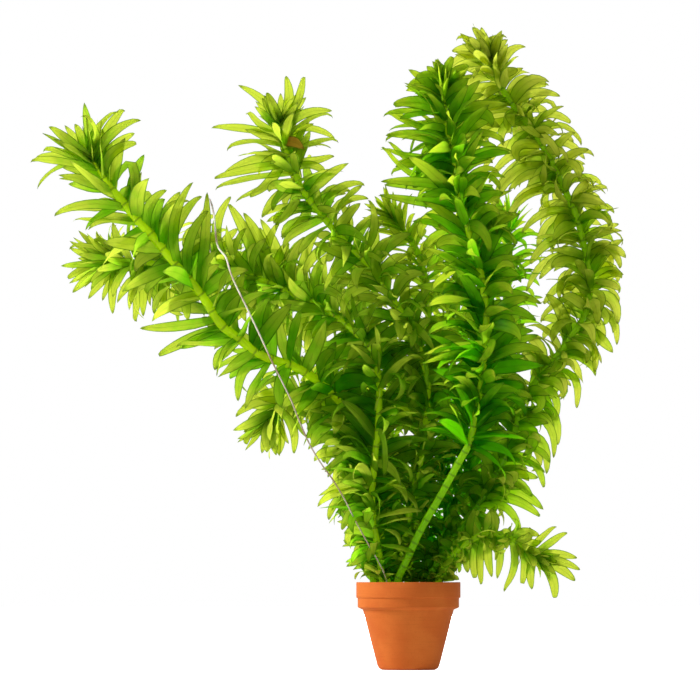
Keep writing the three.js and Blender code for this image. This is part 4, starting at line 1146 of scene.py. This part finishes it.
def make_gravel(materials, stems):
    """The gravel: a bed that fills the pot, under loose grains that leave room for the stems."""
    wall = RIM_RADIUS - POT_WALL - (POT_HEIGHT - GRAVEL_TOP) * POT_WALL_SLOPE - GRAVEL_GAP
    edge, halfway, middle = (GRAVEL_TOP - drop for drop in BED_DROPS)
    bed = Template(turned_shape([
        (0, POT_FLOOR + GRAVEL_GAP), (FOOT_RADIUS - POT_WALL - GRAVEL_GAP, POT_FLOOR + GRAVEL_GAP),
        (wall - BED_EDGE, edge), (wall * 0.5, halfway), (0, middle)], BED_SIDES))
    parts = [{"corners": bed.corners, "faces": bed.faces, "tone": BED_TONE}]
    bm = bmesh.new()
    bmesh.ops.create_uvsphere(bm, u_segments=8, v_segments=5, radius=1)
    grain = Template(bm)
    draw = random_source(GRAVEL_SEED)
    for index in range(GRAIN_COUNT):
        size = lerp(*GRAIN_RADIUS, next(draw))
        distance = (wall - size) * math.sqrt((index + 0.5) / GRAIN_COUNT)
        angle = index * GOLDEN_ANGLE
        height = GRAVEL_TOP - GRAIN_SINK + GRAIN_RISE * next(draw)
        place = Vector((distance * math.cos(angle), distance * math.sin(angle), height))
        if any((place - stem).to_2d().length < STEM_RADIUS + size for stem in stems):
            continue
        turned = GRAIN_TURN * next(draw)
        turn = Matrix.Rotation(turned, 3, Vector((next(draw), next(draw), 1)).normalized())
        stretch = np.diag([lerp(*GRAIN_LENGTHS, next(draw)), lerp(*GRAIN_WIDTHS, next(draw)),
                           GRAIN_HEIGHT])
        lumps = 1 + GRAIN_LUMP * np.sin(grain.corners @ GRAIN_LUMP_STEPS + index)
        corners = (grain.corners * lumps[:, None]) @ stretch @ np.array(turn.transposed()) * size
        parts.append({"corners": corners + np.array(place), "faces": grain.faces,
                      "tone": next(draw)})
    mesh = joined_mesh("gravel", parts, materials)
    add_piece("gravel", mesh, "gravel", "gravel_bed")


def make_root(materials):
    """The water root: a long thin strand, slightly uneven, thickest where it leaves the stem."""
    curve = Curve(ROOT_ROUTE)
    places = np.arange(0, curve.length, ROOT_STEP)
    rings = []
    for along in places:
        uneven = 1 + ROOT_UNEVENNESS * math.sin(along * ROOT_UNEVEN_STEP)
        rings.append((along, lerp(*ROOT_RADII, along / curve.length) * uneven))
    root = tube(curve, rings, ROOT_SIDES)
    mesh = joined_mesh("pale_water_root", [{"corners": root.corners, "faces": root.faces}], materials)
    add_piece("pale_water_root", mesh, "water_root", "water_root")


# The studio

def aimed(item, place, aim):
    item.location = place
    item.rotation_euler = (Vector(aim) - Vector(place)).to_track_quat("-Z", "Y").to_euler()
    bpy.context.scene.collection.objects.link(item)


def make_camera():
    """Level with the rim, far enough back for the picture's flat perspective."""
    data = bpy.data.cameras.new("camera")
    distance = (Vector(CAMERA_AIM) - Vector(CAMERA_PLACE)).length
    data.sensor_width = SENSOR
    data.lens = SENSOR * distance / VIEW_WIDTH
    data.clip_end = VIEW_END
    camera = bpy.data.objects.new("camera", data)
    aimed(camera, CAMERA_PLACE, CAMERA_AIM)
    bpy.context.scene.camera = camera


def make_light(name, place, aim, size, power):
    data = bpy.data.lights.new(name, "AREA")
    data.size = size
    data.energy = power
    light = bpy.data.objects.new(name, data)
    light.visible_camera = False
    aimed(light, place, aim)


def make_studio():
    """A white surround that glows softly, a lit white table, a strong light behind the plant
    and a broad one in front to the left."""
    world = bpy.data.worlds.new("studio")
    world.use_nodes = True
    tree = world.node_tree
    tree.nodes.clear()
    seen = add(tree, "ShaderNodeBackground", [WHITE, 1]).outputs[0]
    fill = add(tree, "ShaderNodeBackground", [WHITE, SURROUND_FILL]).outputs[0]
    path = add(tree, "ShaderNodeLightPath").outputs["Is Camera Ray"]
    both = add(tree, "ShaderNodeMixShader", [path, fill, seen]).outputs[0]
    add(tree, "ShaderNodeOutputWorld", {"Surface": both})
    bpy.context.scene.world = world
    for light in LIGHTS:
        make_light(*light)
    bm = bmesh.new()
    bmesh.ops.create_circle(bm, cap_ends=True, radius=TABLE_RADIUS, segments=TABLE_SIDES)
    mesh = bpy.data.meshes.new("table")
    bm.to_mesh(mesh)
    bm.free()
    material, tree = new_material("white_table")
    path = add(tree, "ShaderNodeLightPath").outputs["Is Camera Ray"]
    glow = add(tree, "ShaderNodeMapRange", [path, 0, 1, TABLE_FILL, TABLE_GLOW]).outputs[0]
    shader = add(tree, "ShaderNodeBsdfPrincipled", {
        "Base Color": linear(TABLE_WHITE), "Roughness": 0.7, "Emission Color": WHITE,
        "Emission Strength": glow})
    mesh.materials.append(finished(material, shader.outputs[0]))
    table = bpy.data.objects.new("table", mesh)
    bpy.context.scene.collection.objects.link(table)
    table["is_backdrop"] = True
    bpy.context.scene.view_settings.view_transform = "Standard"


# The potted plant

make_camera()
make_studio()

shoots = [{**ORDINARY_SHOOT, **shoot} for shoot in SHOOTS]
leaf_skins = {"pale": waterweed_blade("waterweed_blade_pale", PALE_BLADE),
              "green": waterweed_blade("waterweed_blade", GREEN_BLADE),
              "olive": waterweed_blade("waterweed_blade_olive", OLIVE_BLADE)}
faded_skin = waterweed_blade("waterweed_blade_faded", FADED_BLADE)
stem_skin = waterweed_stem()
blade = blade_template()
for shoot in shoots:
    make_shoot(shoot, blade, [leaf_skins[shoot["blade"]], stem_skin, faded_skin])
make_root([water_root_skin()])
make_pot([terracotta()])
stem_feet = [Vector(Curve(shoot["route"]).at(GRAVEL_TOP - STEM_START)) for shoot in shoots]
make_gravel([river_gravel()], stem_feet)

visual_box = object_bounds()
[[list(corner) for corner in box] for box in (cad_box, visual_box)]
